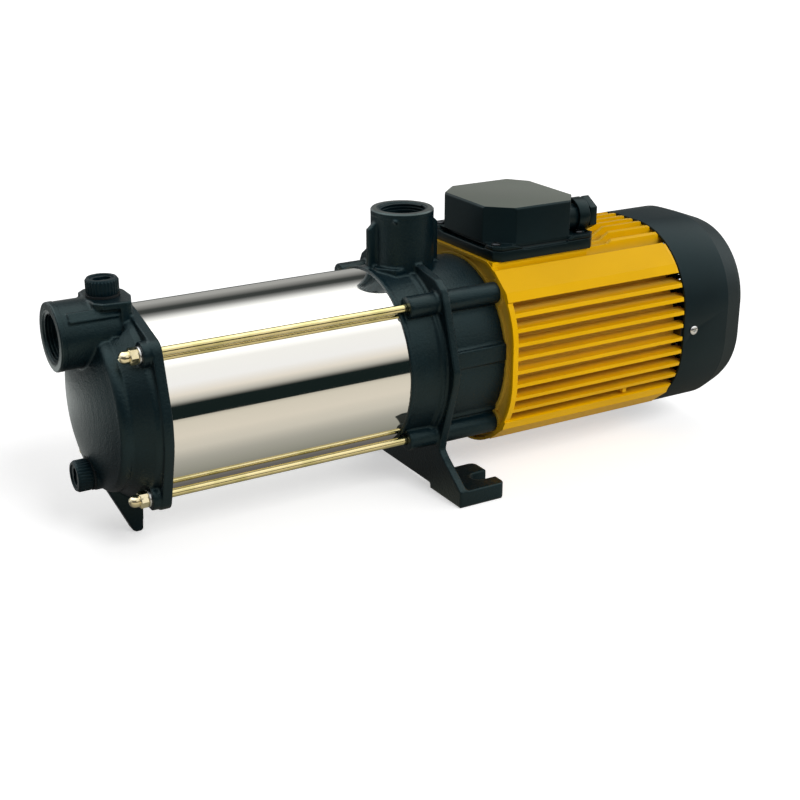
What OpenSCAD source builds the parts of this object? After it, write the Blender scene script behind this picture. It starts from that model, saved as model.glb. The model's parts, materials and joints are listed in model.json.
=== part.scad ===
// Horizontal multistage pump with a close-coupled motor.
// X runs along the shaft from the suction end to the fan, Z is up, and Z = 0 is the ground.
// X = 0 is the line through the two foot slots, and Y = 0 is the plane of symmetry.

/* [Layout] */
// Height of the shaft axis above the ground
axis_h = 95; // [90:1:120]
// Visible length of the outer sleeve
sleeve_len = 178; // [165:1:230]
// Outer diameter of the outer sleeve
sleeve_d = 131; // [128:0.5:133]
// Wall of the outer sleeve
sleeve_wall = 1.5; // [1:0.1:2]
// How far the sleeve enters each casting
sleeve_seat = 6; // [4:0.5:8]
// Clearance of pieces that fit without turning
fit_gap = 0.1; // [0.05:0.01:0.2]
// Clearance of a turning piece beside a fixed one
run_gap = 0.5; // [0.3:0.1:0.8]

/* [Ports] */
// Minor diameter of the G1 port threads
port_bore = 30.3; // [28:0.1:32]
// Diameter of the chamfer at the mouth of a port
port_mouth = 34.4; // [33:0.1:36]
// Outer diameter of a port collar
port_d = 45.6; // [44:0.2:48]
// Depth of a port thread
port_thread = 22; // [18:1:26]
// Height of the suction port above the shaft axis
suction_z = 54; // [50:0.5:56]
// Distance of the suction port face in front of the sleeve
suction_reach = 54; // [50:1:65]
// Height of the discharge port face above the shaft axis
discharge_z = 108; // [100:1:125]

/* [Suction cover] */
// Diameter of the bolting flange
flange_d = 141; // [139:0.5:150]
// Thickness of the bolting flange
flange_t = 12; // [11:0.5:15]
// Depth of the dome in front of the sleeve
dome_depth = 41; // [38:1:50]
// Wall of the cast cover
cover_wall = 6; // [4:0.5:7]
// Thickness of the flange's outer rim
rim_t = 7; // [6:0.5:9]
// Thickness of the front leg
leg_t = 10; // [6:1:14]
// Length of the front leg where it stands
leg_foot = 7; // [5:1:12]

/* [Tie rods] */
// Diameter of the circle that the tie rods stand on
rod_circle_d = 140.6; // [140:0.2:144]
// Diameter of a tie rod
rod_d = 6; // [5:0.5:7]
// Diameter of the boss round a tie rod
rod_boss_d = 16; // [14:0.5:17]
// Width across the flats of a cap nut
nut_flats = 10; // [9:0.5:11]

/* [Bracket and foot] */
// Length of the drum in front of the foot plate
drum_len = 28.5; // [27:0.5:34]
// Distance from the foot plate's front face to the slot line
plate_to_slot = 28.5; // [26:0.5:32]
// Thickness of the foot plate
plate_t = 6; // [5:0.5:8]
// Distance from the foot plate's front face to the motor
rear_len = 51; // [48:1:60]
// Outer diameter of the bracket behind the foot plate
rear_d = 128; // [126:1:130]
// Wall of the bracket casting
bracket_wall = 6; // [4:0.5:7]
// Overall width across the feet
foot_w = 175; // [172:1:190]
// Width of one foot pad
pad_w = 42.6; // [40:0.5:46]
// Length of a foot pad along the shaft
pad_len = 38.8; // [36:0.5:44]
// Height of a foot pad
pad_h = 12.5; // [10:0.5:15]
// Distance between the two foot slots
slot_pitch = 136; // [134:1:138]
// Width of a foot slot
slot_w = 12; // [10:0.5:13]

/* [Stages] */
// Number of stages
stages = 5; // [3:1:5]
// Length of one stage
stage_pitch = 30; // [28:0.5:31]
// Outer diameter of a stage casing
stage_d = 120; // [116:1:121]
// Wall of a stage casing
stage_wall = 1.8; // [1.2:0.1:2.4]
// Diameter of an impeller
impeller_d = 88; // [80:1:90]
// Diameter of an impeller's eye
eye_d = 34; // [30:1:38]
// Thickness of an impeller shroud
shroud_t = 1.6; // [1.2:0.1:2]
// Height of the impeller's water passage
passage_h = 5; // [4:0.5:6]
// Number of impeller vanes
vanes = 6; // [5:1:7]

/* [Shaft] */
// Diameter of the shaft under the impellers
shaft_d = 14; // [12:0.5:15]
// Diameter of the shaft under the seal
seal_shaft_d = 16; // [15.5:0.5:17]
// Diameter of the shaft inside the rotor
rotor_shaft_d = 24; // [22:1:28]
// Outer diameter of the mechanical seal
seal_d = 31; // [28:1:34]

/* [Motor] */
// Half the width of the motor across its fins
motor_half = 75.2; // [74:0.2:78]
// Corner radius of the motor's section
motor_corner = 62.7; // [58:0.1:66]
// Length of the motor housing
housing_len = 158.5; // [152:0.5:190]
// Thickness of the motor's front flange
motor_flange_t = 4.5; // [4:0.5:6]
// Outer diameter of the frame tube under the fins
frame_d = 129; // [127:0.5:132]
// Outer diameter of the stator
stator_d = 120; // [116:1:122]
// Bore of the stator
stator_bore = 70; // [66:1:74]
// Length of the stator
stator_len = 80; // [70:1:90]
// Air gap round the rotor
air_gap = 0.5; // [0.4:0.1:0.8]
// Fins on each side of the motor
fin_count = 8; // [6:1:10]
// Distance from one fin to the next
fin_pitch = 10.45; // [9:0.05:10.6]
// Thickness of a fin at its tip
fin_tip = 1.9; // [1.4:0.1:2.4]

/* [Fan and fan cover] */
// Overall length of the fan cover
fan_cover_len = 65.5; // [60:0.5:75]
// Length of the fan cover before it narrows
fan_straight = 43.5; // [38:0.5:48]
// How much narrower the fan cover's rear face is all round
fan_taper = 17; // [12:0.5:20]
// Wall of the fan cover
fan_cover_wall = 2; // [1.5:0.1:3]
// Diameter of the fan
fan_d = 122; // [110:1:126]
// Number of fan blades
fan_blades = 8; // [6:1:9]

/* [Terminal box] */
// Length of the terminal box base
box_len = 88; // [84:1:100]
// Width of the terminal box base
box_w = 92; // [88:1:94]
// Height of the terminal box base with its gasket
box_base_h = 11; // [9:0.5:14]
// How far the box base stands out past each end of the hood
hood_end_ledge = 7; // [6:0.5:9]
// How far the box base stands out past each side of the hood
hood_side_ledge = 3; // [2.5:0.5:5]
// Height of the terminal box cover's hood
hood_h = 28; // [26:1:40]
// Size of the hood's cut corners
hood_cut = 17; // [14:1:20]
// Width across the flats of the gland nut
gland_flats = 23; // [20:1:26]
// Bore of the gland nut
gland_bore = 12; // [9:0.5:13]

/* [Plugs] */
// Diameter of a plug's knurled head
plug_head_d = 22; // [20:0.5:24]
// Height of a plug's head
plug_head_h = 10.5; // [8:0.5:12]
// Diameter of a plug's thread
plug_thread_d = 13; // [12:0.5:14]
// Length of a plug's thread
plug_thread_len = 10; // [9:0.5:12]

/* [Hidden] */
$fn = 64;
eps = 0.01;
snug = 0.05;
BLACK = "#1a1f20";
YELLOW = "#e9b400";
STEEL = "#c9ccce";
ZINC = "#cfb56a";
NORYL = "#2b2b2b";
RUBBER = "#111111";

// Stations along the shaft
x_plate = -plate_to_slot;
x_lip = x_plate - drum_len;
x_cover = x_lip - sleeve_len;
x_dome = x_cover - dome_depth;
x_suction = x_cover - suction_reach;
x_flange = x_cover - flange_t;
x_motor = x_plate + rear_len;
x_frame_end = x_motor + housing_len;
sleeve_r = sleeve_d / 2;
rod_circle = rod_circle_d / 2;

// Turns a profile of [radius, x] points round the shaft axis
module turned(points) {
    translate([0, 0, axis_h]) rotate([0, 90, 0]) rotate_extrude($fn = 96) polygon(points);
}
// A cylinder along the shaft, at a [y, z] place from the axis
module along(x, len, r, at = [0, 0]) {
    translate([x, at[0], axis_h + at[1]]) rotate([0, 90, 0]) cylinder(r = r, h = len);
}
// A ring along the shaft
module sleeve_ring(x, len, ro, ri, at = [0, 0]) {
    difference() {
        along(x, len, ro, at);
        along(x - 1, len + 2, ri, at);
    }
}
// A flat section in the plane across the shaft, drawn as [y, z] and drawn out along X
module across(x, len) {
    translate([x, 0, axis_h]) rotate([90, 0, 90]) linear_extrude(len) children();
}
// A side section drawn as [x, z] from the shaft axis, centred on y
module side_web(t, y = 0) {
    translate([0, y + t / 2, axis_h]) rotate([90, 0, 0]) linear_extrude(t) children();
}
// A round ring of rubber round the shaft axis
module o_ring(x, r, section) {
    translate([x, 0, axis_h]) rotate([0, 90, 0]) rotate_extrude()
        translate([r, 0]) circle(d = section, $fn = 24);
}
// The groove that takes a sleeve end from x on, with room for its sealing ring from x_ring on
module sleeve_seat_cut(x, x_ring) {
    sleeve_ring(x, sleeve_seat + 1, sleeve_r + fit_gap, sleeve_r - sleeve_wall - fit_gap);
    sleeve_ring(x_ring, 3 + eps, sleeve_r + fit_gap, sleeve_r - 3);
}
// Puts its children at the four tie rods
module at_rods() {
    for (a = [45 : 90 : 315])
        translate([0, rod_circle * cos(a), rod_circle * sin(a)]) children();
}

// Suction cover
band_r = 67;
neck_r = 57.5;
dome_r = 54;
dome_edge = 7;
// The front of the dome is a shallow bowl: its radius follows from its rise over its edge circle
dome_rise = 10;
bowl_r = (dome_r * dome_r + dome_rise * dome_rise) / (2 * dome_rise);
x_shoulder = x_dome + dome_rise;
x_neck = x_shoulder + dome_edge + 1;
x_rim = x_cover - rim_t;
cavity_r = sleeve_r - sleeve_wall - cover_wall;
function bowl(r, x0, back) = x0 + back - sqrt(back * back - r * r);
module cover_outside() {
    steps = [0 : 8];
    turned(concat(
        [[0, x_cover], [band_r + 2, x_cover], [band_r + 2, x_rim], [band_r + 0.6, x_rim - 1]],
        [[band_r + 0.6, x_flange + 1], [band_r - 0.4, x_flange], [neck_r, x_neck], [neck_r, x_neck - 0.8]],
        [for (i = steps) [
            dome_r + (neck_r + 0.5 - dome_r) * cos(90 * i / 8),
            x_shoulder + dome_edge - dome_edge * sin(90 * i / 8)
        ]],
        [for (i = [7 : -1 : 0]) [dome_r * i / 8, bowl(dome_r * i / 8, x_dome, bowl_r)]]
    ));
    across(x_rim, rim_t) cover_outline();
}
// The flange: a disc with an ear at each tie rod, joined to it by straight flanks
module cover_outline() {
    ear_r = rod_boss_d / 2 + 1.5;
    flank = acos((flange_d / 2 - ear_r) / rod_circle);
    circle(d = flange_d, $fn = 128);
    for (a = [45 : 90 : 315]) rotate(a) {
        translate([rod_circle, 0]) circle(r = ear_r);
        polygon([
            flange_d / 2 * [cos(flank), -sin(flank)], [rod_circle, 0] + ear_r * [cos(flank), -sin(flank)],
            [rod_circle, 0] + ear_r * [cos(flank), sin(flank)], flange_d / 2 * [cos(flank), sin(flank)]
        ]);
    }
}
module cover_cavity() {
    turned([
        [0, x_cover + 1], [cavity_r, x_cover + 1], [cavity_r, x_flange + 2],
        [neck_r - cover_wall, x_neck + 2], [dome_r - cover_wall + 1, x_shoulder + cover_wall],
        [30, x_dome + cover_wall + 4.5],
        [0, x_dome + cover_wall + 2]
    ]);
}
plug_x = x_cover - 17;
pad_z = suction_z + port_d / 2 + 0.1;
drain_z = -46;
drain_boss_x = x_dome + 6.4;
module suction_cover() {
    color(BLACK) difference() {
        union() {
            cover_outside();
            at_rods() along(x_flange - 0.6, flange_t + 0.6, rod_boss_d / 2 + 0.6);
            // Suction port with its collar, flat plug pad, side ribs and gusset
            along(x_suction + 0.8, x_flange + 8 - x_suction, port_d / 2, [0, suction_z]);
            along(x_suction, 3.4, port_d / 2 + 0.3, [0, suction_z]);
            plug_pad();
            for (s = [-1, 1])
                translate([x_suction + 8, 0, axis_h + suction_z])
                    rotate([s * 44, 0, 0]) translate([0, -2.6, 0])
                        cube([x_flange - x_suction - 6, 5.2, port_d / 2 + 1.6]);
            side_web(6) polygon([
                [x_suction + 20, suction_z - port_d / 2 + 3], [x_dome + 20, suction_z - port_d / 2 + 3],
                [x_dome + 20, 18], [x_dome + 3, 22]
            ]);
            // Drain boss low on the dome
            along(drain_boss_x, 22, plug_head_d / 2 + 0.8, [0, drain_z]);
            front_leg();
        }
        cover_cavity();
        // Seat of the sleeve and its sealing ring
        sleeve_seat_cut(x_cover - sleeve_seat, x_cover - sleeve_seat - 3);
        // Suction passage and thread
        along(x_suction - 1, port_thread + 1, port_bore / 2, [0, suction_z]);
        along(x_suction + port_thread - 1, x_flange - 2 - x_suction - port_thread,
            port_bore / 2 - 1.5, [0, suction_z]);
        port_chamfer();
        translate([x_shoulder + 7, -14, axis_h + 30]) cube([12, 28, 24]);
        // Tie rod holes and the pockets round the cap nuts
        at_rods() along(x_flange - 30, flange_t + 31, rod_d / 2 + 0.3);
        at_rods() along(x_dome - 20, x_flange - 0.6 - x_dome + 20, nut_flats / 2 + 3.4);
        // Plug holes with the seats of their sealing rings
        translate([plug_x, 0, axis_h + pad_z - 24]) cylinder(d = plug_thread_d + 2 * fit_gap, h = 25);
        along(drain_boss_x - 1, 40, plug_thread_d / 2 + fit_gap, [0, drain_z]);
        along(drain_boss_x - 10, 10, plug_head_d / 2 + 1.2, [0, drain_z]);
    }
}
// The pad that the priming plug screws into: a flat top with cut corners
module plug_pad() {
    translate([plug_x, 0, axis_h + suction_z]) linear_extrude(pad_z - suction_z) polygon([
        [-12, -15], [-7, -20.4], [8, -22.6], [11.5, -22], [16.6, -7], [16.6, 7],
        [11.5, 22], [8, 22.6], [-7, 20.4], [-12, 15]
    ]);
}
module port_chamfer() {
    translate([x_suction - eps, 0, axis_h + suction_z]) rotate([0, 90, 0])
        cylinder(r1 = port_mouth / 2, r2 = port_bore / 2, h = (port_mouth - port_bore) / 2);
}
// One leg under the middle of the cover
module front_leg() {
    x_heel = x_cover - 2;
    side_web(leg_t) polygon([
        [x_dome + 12, -53], [x_heel - leg_foot - 2.4, -axis_h + 5],
        [x_heel - leg_foot - 0.8, -axis_h + 1.4],
        [x_heel - leg_foot + 1.2, -axis_h], [x_heel - 1.6, -axis_h], [x_heel - 0.4, -axis_h + 1.2],
        [x_heel + 0.8, -axis_h + 18], [x_heel + 1.2, -66], [x_flange, -56]
    ]);
}

// Plugs: a knurled head with a cross socket, a thread and a soft ring under the head
plug_ring_t = 1.6;
module plug(head, thread) {
    knurls = 30;
    difference() {
        union() {
            translate([0, 0, plug_ring_t]) cylinder(d = plug_head_d - 1, h = plug_head_h);
            translate([0, 0, plug_ring_t + 1]) linear_extrude(plug_head_h - 2.2) {
                circle(d = plug_head_d - 1);
                for (i = [0 : knurls - 1])
                    rotate(i * 360 / knurls) translate([plug_head_d / 2 - 0.9, 0])
                        rotate(45) square(1.27, center = true);
            }
            translate([0, 0, -plug_thread_len])
                cylinder(d = plug_thread_d, h = plug_thread_len + plug_ring_t + 1);
        }
        // Four-lobed socket
        translate([0, 0, plug_ring_t + plug_head_h - 6]) linear_extrude(7) {
            circle(d = 5);
            for (a = [0, 90]) rotate(a) square([12, 3.6], center = true);
        }
    }
}
module plug_ring() {
    difference() {
        cylinder(d = plug_head_d + 0.6, h = plug_ring_t);
        translate([0, 0, -1]) cylinder(d = plug_thread_d + 2 * fit_gap, h = plug_ring_t + 2);
    }
}
module priming_place() {
    translate([plug_x, 0, axis_h + pad_z]) children();
}
module drain_place() {
    translate([drain_boss_x, 0, axis_h + drain_z]) rotate([0, -90, 0]) children();
}
module priming_plug() { color(BLACK) priming_place() plug(); }
module priming_plug_ring() { color(RUBBER) priming_place() plug_ring(); }
module drain_plug() { color(BLACK) drain_place() plug(); }
module drain_plug_ring() { color(RUBBER) drain_place() plug_ring(); }

// Outer sleeve and its two sealing rings
module outer_sleeve() {
    len = sleeve_len + 2 * sleeve_seat;
    color(STEEL) sleeve_ring(x_cover - sleeve_seat, len, sleeve_r, sleeve_r - sleeve_wall);
}
ring_section = 2.8;
module sleeve_ring_front() {
    color(RUBBER) o_ring(x_cover - sleeve_seat - ring_section / 2, sleeve_r - 1.5, ring_section);
}
module sleeve_ring_rear() {
    color(RUBBER) o_ring(x_lip + sleeve_seat + ring_section / 2, sleeve_r - 1.5, ring_section);
}

// Tie rods with cap nuts and washers at the suction end
washer_t = 1.4;
x_nut_seat = x_flange - 0.6;
rod_grip = 14;
module tie_rods() {
    x0 = x_nut_seat - washer_t - 6;
    color(ZINC) at_rods() along(x0, x_lip + 5 + rod_grip - x0, rod_d / 2);
}
module cap_nuts() {
    color(ZINC) at_rods() difference() {
        translate([x_nut_seat - washer_t, 0, axis_h]) rotate([0, -90, 0]) union() {
            cylinder(d = nut_flats / cos(30), h = 6, $fn = 6);
            cylinder(d = nut_flats * 0.86, h = 8.4);
            translate([0, 0, 8.4]) sphere(d = nut_flats * 0.86);
        }
        along(x_nut_seat - washer_t - 6.2, 8, rod_d / 2 + snug);
    }
}
module rod_washers() {
    color(STEEL) at_rods() sleeve_ring(x_nut_seat - washer_t, washer_t, 6, rod_d / 2 + 0.2);
}

// Discharge bracket: wet chamber, port, foot plate and the seat of the front bearing in one casting
x_wall = x_plate + 22;
wall_t = 7;
wet_r = sleeve_r - sleeve_wall - 5.5;
discharge_x = x_lip + 31;
bearing_w = 14;
bearing_od = 47;
x_bearing = x_motor - 15;
module plate_outline() {
    half = foot_w / 2;
    pad_in = half - pad_w;
    polygon([
        [0, 75.5], [50, 66.5], [57.5, 61], [61.5, 53], [77, 5], [76, -4], [60, -52], [58, -60],
        [62, -64], [half - 4, -axis_h + pad_h + 3], [half, -axis_h + pad_h], [half, -axis_h],
        [pad_in, -axis_h], [pad_in, -axis_h + 4], [-pad_in, -axis_h + 4], [-pad_in, -axis_h],
        [-half, -axis_h], [-half, -axis_h + pad_h], [-half + 4, -axis_h + pad_h + 3], [-62, -64],
        [-58, -60], [-60, -52], [-76, -4], [-77, 5], [-61.5, 53], [-57.5, 61], [-50, 66.5]
    ]);
}
module foot_pad(s) {
    r = 5;
    y_in = foot_w / 2 - pad_w;
    translate([x_plate, 0, 0]) linear_extrude(pad_h) scale([1, s]) difference() {
        union() {
            translate([0, y_in]) square([pad_len - r, pad_w]);
            translate([0, y_in + r]) square([pad_len, pad_w - 2 * r]);
            for (y = [y_in + r, y_in + pad_w - r]) translate([pad_len - r, y]) circle(r = r);
        }
        translate([plate_to_slot - 1, slot_pitch / 2]) circle(d = slot_w);
        translate([plate_to_slot - 1, slot_pitch / 2 - slot_w / 2]) square([pad_len, slot_w]);
    }
}
module bracket_outside() {
    // Front lip, drum and ridge
    turned([
        [0, x_lip], [sleeve_r + 1.4, x_lip], [sleeve_r + 1.4, x_lip + 2.6], [sleeve_r + 0.6, x_lip + 3],
        [sleeve_r + 1.6, x_plate - 5], [sleeve_r + 3.4, x_plate - 4.2], [sleeve_r + 3.4, x_plate - 0.6],
        [sleeve_r + 2.4, x_plate], [sleeve_r + 2.4, x_plate + plate_t], [rear_d / 2, x_plate + plate_t + 2],
        [rear_d / 2, x_motor], [0, x_motor]
    ]);
    across(x_plate, plate_t) plate_outline();
    for (s = [-1, 1]) foot_pad(s);
    // Rod bosses in front of the plate and long bosses behind it
    at_rods() along(x_lip + 5, drum_len - 4, rod_boss_d / 2);
    at_rods() along(x_plate, rear_len, rod_boss_d / 2);
    // Stiffening ribs along the rear drum
    for (s = [-1, 1]) for (rib = [[3, 13, 2], [-39, 4.5, -9]])
        translate([x_plate, s * (rear_d / 2 + rib[2] - 5) - 5, axis_h + rib[0]]) cube([rear_len, 10, rib[1]]);
    discharge_port();
}
module discharge_port() {
    r = port_d / 2;
    translate([discharge_x, 0, axis_h]) {
        translate([0, 0, 40]) cylinder(r = r, h = discharge_z - 40 - 1);
        translate([0, 0, discharge_z - 1 - eps]) cylinder(r1 = r, r2 = r - 1, h = 1 + eps);
        // Raised pad round the foot of the port
        translate([0, 0, 30]) linear_extrude(38.5) polygon([
            [-26, -9], [-17, -21], [x_plate - discharge_x, -21],
            [x_plate - discharge_x, 21], [-17, 21], [-26, 9]
        ]);
    }
    for (s = [-1, 1]) side_web(5) polygon([
        [discharge_x, 40], [discharge_x + s * 29, 40], [discharge_x + s * 29, discharge_z - 13],
        [discharge_x + s * (r - 2), discharge_z - 6], [discharge_x, discharge_z - 6]
    ]);
}
module discharge_bracket() {
    color(BLACK) difference() {
        bracket_outside();
        // Wet chamber
        turned([
            [0, x_lip - 1], [wet_r, x_lip - 1], [wet_r, x_wall - 6], [wet_r - 6, x_wall],
            [0, x_wall]
        ]);
        sleeve_seat_cut(x_lip - 1, x_lip + sleeve_seat - eps);
        // Discharge passage and thread
        translate([discharge_x, 0, axis_h + 30]) cylinder(d = port_bore - 3, h = discharge_z);
        translate([discharge_x, 0, axis_h + discharge_z - port_thread])
            cylinder(d = port_bore, h = port_thread + 1);
        translate([discharge_x, 0, axis_h + discharge_z + eps]) mirror([0, 0, 1])
            cylinder(r1 = port_mouth / 2, r2 = port_bore / 2, h = (port_mouth - port_bore) / 2);
        // Seal seat, shaft hole and bearing seat
        along(x_wall - 1, seal_seat_t + 1, seal_d / 2 + fit_gap);
        along(x_wall - 1, x_motor + 10 - x_wall, seal_shaft_d / 2 + 3.5);
        along(x_bearing, 20, bearing_od / 2 + fit_gap);
        // Dry space between the seal and the bearing
        turned([
            [18, x_wall + wall_t + 2], [rear_d / 2 - bracket_wall, x_wall + wall_t + 2],
            [rear_d / 2 - bracket_wall, x_motor - 5], [bearing_od / 2 + 8, x_motor - 5],
            [bearing_od / 2 + 8, x_bearing + 0.5], [18, x_bearing - 4]
        ]);
        // Tie rod and flange bolt holes
        at_rods() along(x_lip + 4, rod_grip + 2, rod_d / 2 + fit_gap);
        at_rods() along(x_motor - 18, 19, flange_bolt_d / 2 + fit_gap);
    }
}

// Mechanical seal
seal_seat_t = 6;
seal_ring_t = 1.6;
x_seal_face = x_wall - 1.2;
seal_head_len = 12;
module seal_seat() {
    ro = seal_d / 2 - seal_ring_t;
    color("ivory") sleeve_ring(x_seal_face, seal_seat_t + 1, ro, seal_shaft_d / 2 + 2);
}
module seal_seat_ring() {
    color(RUBBER) sleeve_ring(x_wall, seal_seat_t - fit_gap, seal_d / 2, seal_d / 2 - seal_ring_t + snug);
}
module seal_head() {
    color("dimgray") turned([
        [seal_shaft_d / 2 + snug, x_spring], [seal_d / 2, x_spring],
        [seal_d / 2, x_seal_face - fit_gap - 3], [seal_d / 2 - 3, x_seal_face - fit_gap],
        [seal_shaft_d / 2 + 2.4, x_seal_face - fit_gap], [seal_shaft_d / 2 + 2.4, x_seal_face - 3],
        [seal_shaft_d / 2 + snug, x_seal_face - 4]
    ]);
}
// The spring is a stack of turns, drawn as closed rings
x_spring = x_seal_face - fit_gap - seal_head_len;
spring_wire = 2;
spring_turns = 5;
module seal_spring() {
    color(STEEL) for (i = [0 : spring_turns - 1])
        o_ring(x_spring - spring_wire / 2 - 0.02 - i * (spring_wire + 0.9),
            seal_shaft_d / 2 + spring_wire / 2 + 0.4, spring_wire);
}

// Stages: the casing's front wall holds the impeller's eye, the diffuser guides the water on
x_stage = x_lip - stages * stage_pitch;
wall_hole = eye_d / 2 + run_gap;
module stage_casing(i) {
    x = x_stage + (i - 1) * stage_pitch;
    color(STEEL) turned([
        [wall_hole, x], [stage_d / 2, x], [stage_d / 2, x + stage_pitch - fit_gap],
        [stage_d / 2 - stage_wall, x + stage_pitch - fit_gap], [stage_d / 2 - stage_wall, x + stage_wall],
        [wall_hole, x + stage_wall]
    ]);
}
// A ring in front of the first stage takes up the rest of the sleeve's length
module inlet_ring() {
    len = x_stage - x_cover - 2 * fit_gap;
    color(STEEL) sleeve_ring(x_cover + fit_gap, len, stage_d / 2, stage_d / 2 - 4);
}
impeller_t = 2 * shroud_t + passage_h;
x_in_stage = stage_wall + run_gap + 0.6;
hub_r = shaft_d / 2 + 3.5;
// One curved vane: a slice of a thin round wall, on one side of the line through its centre
module vane(r0, r1, curve, t) {
    intersection() {
        difference() {
            circle(r = r1);
            circle(r = r0);
        }
        rotate(-45) translate([-100, 0]) square(200);
        translate([curve * 0.62, -curve * 0.62]) difference() {
            circle(r = curve);
            circle(r = curve - t);
        }
    }
}
module impeller(i) {
    x = x_stage + (i - 1) * stage_pitch + x_in_stage;
    color("#8d9396") {
        difference() {
            union() {
                sleeve_ring(x - x_in_stage, x_in_stage + shroud_t, eye_d / 2, eye_d / 2 - 1.4);
                sleeve_ring(x, shroud_t, impeller_d / 2, eye_d / 2 - 1.4);
                sleeve_ring(x + impeller_t - shroud_t, shroud_t, impeller_d / 2, hub_r - 1);
                along(x - 2, impeller_t + 4, hub_r);
                across(x + shroud_t - 0.2, passage_h + 0.4)
                    for (k = [0 : vanes - 1]) rotate(k * 360 / vanes)
                        vane(eye_d / 2 - 0.2, impeller_d / 2 - 0.4, 36, 1.8);
            }
            along(x - 20, 60, shaft_d / 2 + snug);
        }
    }
}
module diffuser(i) {
    x = x_stage + (i - 1) * stage_pitch + stage_wall;
    disc_x = x + impeller_t + 2 * run_gap + 3;
    end_x = x_stage + i * stage_pitch - 0.02;
    ro = stage_d / 2 - stage_wall - fit_gap;
    color(NORYL) {
        sleeve_ring(disc_x, 1.8, ro - 5, hub_r + run_gap);
        // Guide vanes round the impeller and return vanes behind the disc
        across(x + 0.02, disc_x - x + 0.2) for (k = [0 : 7]) rotate(k * 45)
            vane(impeller_d / 2 + 1.6, ro, 40, 2);
        across(disc_x + 1.6, end_x - disc_x - 1.6) for (k = [0 : 7]) rotate(k * 45)
            vane(eye_d / 2 + 2, ro, 34, 2);
    }
}
module impeller_spacers() {
    for (i = [1 : stages]) {
        x0 = x_stage + (i - 1) * stage_pitch + x_in_stage + impeller_t + 2;
        x1 = i < stages ? x_stage + i * stage_pitch + x_in_stage - 2 : x_seal_step;
        color(STEEL) sleeve_ring(x0, x1 - x0, hub_r - 1, shaft_d / 2 + snug);
    }
}

// Shaft with its steps, one profile
x_seal_step = x_spring - spring_turns * (spring_wire + 0.9) + 0.85;
x_shaft_end = x_stage + x_in_stage - 2 - 12;
x_rotor = x_motor + 30;
x_rear_bearing = x_frame_end - 15;
x_fan = x_frame_end + 11;
fan_hub_len = 20;
rear_bearing_id = 17;
rear_bearing_od = 40;
rear_bearing_w = 12;
front_bearing_id = 20;
module shaft() {
    color("#a9adb0") turned([
        [0, x_shaft_end], [shaft_d / 2 - 1, x_shaft_end], [shaft_d / 2, x_shaft_end + 1],
        [shaft_d / 2, x_seal_step], [seal_shaft_d / 2, x_seal_step], [seal_shaft_d / 2, x_bearing - 1],
        [front_bearing_id / 2, x_bearing - 1], [front_bearing_id / 2, x_bearing + bearing_w],
        [rotor_shaft_d / 2 + 1, x_bearing + bearing_w], [rotor_shaft_d / 2 + 1, x_rotor],
        [rotor_shaft_d / 2, x_rotor], [rotor_shaft_d / 2, x_rotor + stator_len + 6],
        [rear_bearing_id / 2 + 2.5, x_rotor + stator_len + 6], [rear_bearing_id / 2 + 2.5, x_rear_bearing],
        [rear_bearing_id / 2, x_rear_bearing], [rear_bearing_id / 2, x_rear_bearing + rear_bearing_w + 2],
        [7, x_rear_bearing + rear_bearing_w + 2], [7, x_fan + fan_hub_len + 2],
        [6, x_fan + fan_hub_len + 3], [0, x_fan + fan_hub_len + 3]
    ]);
}
module impeller_nut() {
    x0 = x_stage + x_in_stage - 2;
    color(STEEL) difference() {
        union() {
            translate([x0 - 8, 0, axis_h]) rotate([0, 90, 0]) cylinder(d = 22, h = 7, $fn = 6);
            along(x0 - 1, 1, hub_r);
        }
        along(x0 - 20, 30, shaft_d / 2 + snug);
    }
}

// Ball bearings, given as [outer diameter, bore, width]: ringed grooves, and balls in a cage
front_bearing = [bearing_od, front_bearing_id, bearing_w];
rear_bearing = [rear_bearing_od, rear_bearing_id, rear_bearing_w];
function pitch_r(size) = (size[0] + size[1]) / 4;
function ball_d(size) = (size[0] - size[1]) * 0.29;
ball_count = 8;
module race(x, size, r0, r1, groove_d) {
    translate([x, 0, axis_h]) rotate([0, 90, 0]) rotate_extrude() difference() {
        translate([r0, 0]) square([r1 - r0, size[2]]);
        translate([pitch_r(size), size[2] / 2]) circle(d = groove_d);
    }
}
module bearing_outer(x, size) {
    race(x, size, pitch_r(size) + ball_d(size) * 0.36, size[0] / 2, ball_d(size) + 0.8);
}
module bearing_inner(x, size) {
    race(x, size, size[1] / 2 + snug, pitch_r(size) - ball_d(size) * 0.36, ball_d(size) + 0.2);
}
module bearing_balls(x, size) {
    middle = x + size[2] / 2;
    for (k = [0 : ball_count - 1])
        translate([middle, 0, axis_h]) rotate([k * 360 / ball_count, 0, 0])
            translate([0, pitch_r(size), 0]) sphere(d = ball_d(size), $fn = 32);
    sleeve_ring(middle - ball_d(size) * 0.2, ball_d(size) * 0.4, pitch_r(size) + 0.9, pitch_r(size) - 0.9);
}
module front_bearing_outer() {
    color(STEEL) bearing_outer(x_bearing, front_bearing);
}
module front_bearing_inner() {
    color(STEEL) bearing_inner(x_bearing, front_bearing);
}
module front_bearing_balls() {
    color(STEEL) bearing_balls(x_bearing, front_bearing);
}
module rear_bearing_outer() {
    color(STEEL) bearing_outer(x_rear_bearing, rear_bearing);
}
module rear_bearing_inner() {
    color(STEEL) bearing_inner(x_rear_bearing, rear_bearing);
}
module rear_bearing_balls() {
    color(STEEL) bearing_balls(x_rear_bearing, rear_bearing);
}

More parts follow.
